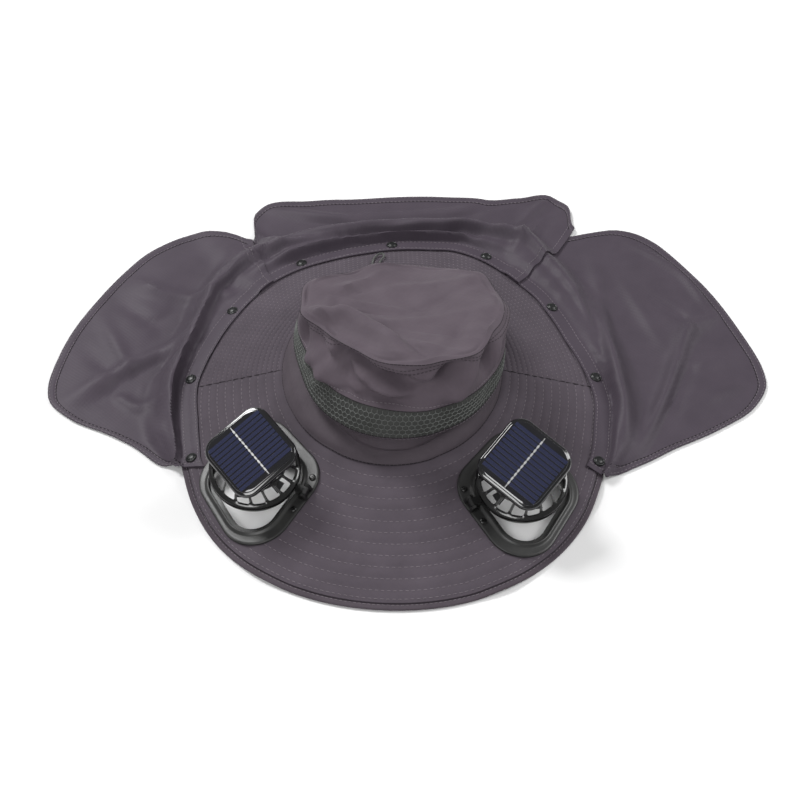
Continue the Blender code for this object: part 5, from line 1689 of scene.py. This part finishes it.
def build_tray(name, side, middle, tilt):
    """Glossy tray under the cell, on a round neck over the guard's hub."""
    low = TRAY_BASE + TRAY_NECK_HEIGHT
    turn = Matrix.Rotation(math.radians(PANEL_TURN), 3, "Z")
    count = 4 * (PANEL_CORNER_STEPS + 1)
    neck = [TRAY_NECK_RADIUS * direction(225.0 + 360.0 / count * (k + 0.5)) for k in range(count)]
    loops = [lifted([turn @ p for p in neck], TRAY_BASE), panel_points(name, lifted(neck, low))]
    for size, corner, lip, corner_lip, rise in TRAY_SECTION:
        loops.append(panel_points(name, square(
            size * PANEL_SIDE + lip * TRAY_LIP,
            corner * PANEL_CORNER_RADIUS + corner_lip * TRAY_LIP,
            low + rise * TRAY_HEIGHT,
        )))
    bm = flip_side(stack([[middle + p for p in points] for points in loops]), side)
    node = name + "_panel_tray"
    add_piece(
        node + "_moulding", bm, "tray", node, name + "_fan_head", tilt, 50.0
    )


def wafer_box(bm, low, high, base, top):
    """A thin bevelled tile between two corners of the panel's plane."""
    edge = 0.3 * (top - base)
    rings = []
    for inset, height in ((0.0, base), (0.0, top - edge), (edge, top)):
        left, right = low[0] + inset, high[0] - inset
        near, far = low[1] + inset, high[1] - inset
        corners = ((left, near), (right, near), (right, far), (left, far))
        rings.append([bm.verts.new((x, y, height)) for x, y in corners])
    join_rings(bm, rings)


def build_cell(name, side, middle, tilt):
    """Clear resin over rows of dark wafers, joined by a busbar across the middle."""
    top = TRAY_BASE + TRAY_NECK_HEIGHT + TRAY_HEIGHT + GAP
    size = PANEL_SIDE - TRAY_LIP - CELL_INSET
    radius = PANEL_CORNER_RADIUS - TRAY_LIP
    body = name + "_fan_head"
    node = name + "_solar_cell"
    loops = []
    for inset, share in RESIN_DOME:
        corner = max(radius - 0.6 * inset, 0.004)
        outline = square(size - 2 * inset, corner, top + share * CELL_THICKNESS)
        loops.append([middle + p for p in panel_points(name, outline)])
    resin = flip_side(stack(loops), side)
    add_piece(node + "_resin", resin, "resin", node, body, tilt, 50.0)

    corners = [Vector(p) for p in ((0, 0, top), (1, 0, top), (0, 1, top), (0, 0, top + 1))]
    origin, right, ahead, above = panel_points(name, corners)
    mirror = Matrix.Diagonal((side, 1.0, 1.0, 1.0))
    plane = Matrix((right - origin, ahead - origin, above - origin)).transposed().to_4x4()
    placed = tilt @ (mirror @ Matrix.Translation(middle + origin) @ plane @ mirror)
    half = 0.5 * WAFER_FIELD[0] * size
    deep = 0.5 * WAFER_FIELD[1] * size
    face = CELL_THICKNESS + GAP / 6
    pitch = 2 * deep / WAFER_ROWS
    bar = 0.5 * BUSBAR_WIDTH
    wafers = bmesh.new()
    bars = bmesh.new()
    for k in range(WAFER_ROWS):
        low = -deep + pitch * k + WAFER_GAP / 2
        high = low + pitch - WAFER_GAP
        for near, far in ((-half, -1.5 * bar), (1.5 * bar, half)):
            wafer_box(wafers, (near, low), (far, high), face, face + WAFER_HEIGHT)
        ends = (low + 0.08 * pitch, high - 0.04 * pitch)
        wafer_box(bars, (-bar, ends[0]), (bar, ends[1]), face, face + 1.6 * WAFER_HEIGHT)
    thin = 0.22 * BUSBAR_WIDTH
    reach = deep + BUSBAR_TAIL
    wafer_box(bars, (-thin, -reach), (thin, reach), face, face + 1.2 * WAFER_HEIGHT)
    for bm, tag, material in ((wafers, "wafers", "wafer"), (bars, "busbar", "busbar")):
        bmesh.ops.recalc_face_normals(bm, faces=bm.faces)
        add_piece("%s_%s" % (node, tag), bm, material, body=body, matrix=placed)


def build_fan(place):
    name, side = place[:2]
    seat = fan_base(place)
    build_flange(place, seat)
    build_screws(place, seat)
    spot, axis = hinge_spot(side)
    opened = Matrix.Rotation(math.radians(HEAD_REST_ANGLE), 4, axis)
    tilt = seat @ Matrix.Translation(spot) @ opened
    middle = -HINGE_DISTANCE * direction(HINGE_ANGLE) - Vector((0, 0, KNUCKLE_RADIUS - GAP))
    for build in (build_guard, build_tray, build_cell):
        build(name, side, middle, tilt)


def dress_nodes():
    """Better materials and softened edges on the CAD pieces that stay."""
    for place in FAN_PLACES:
        for tag, material, softness in DRESSED:
            thing = frame["nodes"]["%s_%s" % (place[0], tag)]
            thing.data.materials.clear()
            thing.data.materials.append(MATERIALS[material])
            soft = thing.modifiers.new("soft_edges", "BEVEL")
            soft.width = softness
            soft.segments = 2
            soft.limit_method = "ANGLE"
            soft.angle_limit = math.radians(35)


# Stage


def build_stage():
    """Pale floor under the hat, and a white world."""
    bm = bmesh.new()
    bmesh.ops.create_grid(bm, x_segments=8, y_segments=8, size=FLOOR_HALF_SIZE)
    mesh = new_mesh("floor", bm)
    material, _, shader, _ = new_material("pale_floor", 0.9, 0.1)
    shader.inputs["Base Color"].default_value = FLOOR_COLOUR
    mesh.materials.append(material)
    floor = new_object("floor", mesh)
    floor.location.z = min(0.0, cad_box[0].z) - GAP
    world = bpy.data.worlds.new("studio")
    world.use_nodes = True
    background = world.node_tree.nodes["Background"]
    background.inputs["Color"].default_value = (1.0, 1.0, 1.0, 1.0)
    background.inputs["Strength"].default_value = WORLD_STRENGTH
    bpy.context.scene.world = world
    bpy.context.scene.view_settings.view_transform = "Standard"


def build_lights():
    for name, spot, size, power in SOFT_BOXES:
        light = bpy.data.lights.new(name, "AREA")
        light.shape = "SQUARE"
        light.size = size
        light.energy = power
        lamp = new_object(name, light)
        lamp.location = spot
        lamp.rotation_euler = (-Vector(spot)).to_track_quat("-Z", "Y").to_euler()


def build_camera():
    rise = math.radians(CAMERA_ELEVATION)
    back = Vector((0.0, -math.cos(rise), math.sin(rise)))
    data = bpy.data.cameras.new("camera")
    data.lens = CAMERA_LENS_MM
    data.sensor_width = 36.0
    data.clip_start = 0.05
    data.clip_end = 20.0
    camera = new_object("camera", data)
    camera.location = CAMERA_TARGET + back * CAMERA_DISTANCE
    camera.rotation_euler = (-back).to_track_quat("-Z", "Y").to_euler()
    bpy.context.scene.camera = camera


random.seed(7)
MATERIALS = make_materials()
build_camera()
build_drawcord()
build_stage()
build_lights()
build_crown()
build_brim()
build_flap()
build_snaps()
for fan_place in FAN_PLACES:
    build_fan(fan_place)
dress_nodes()
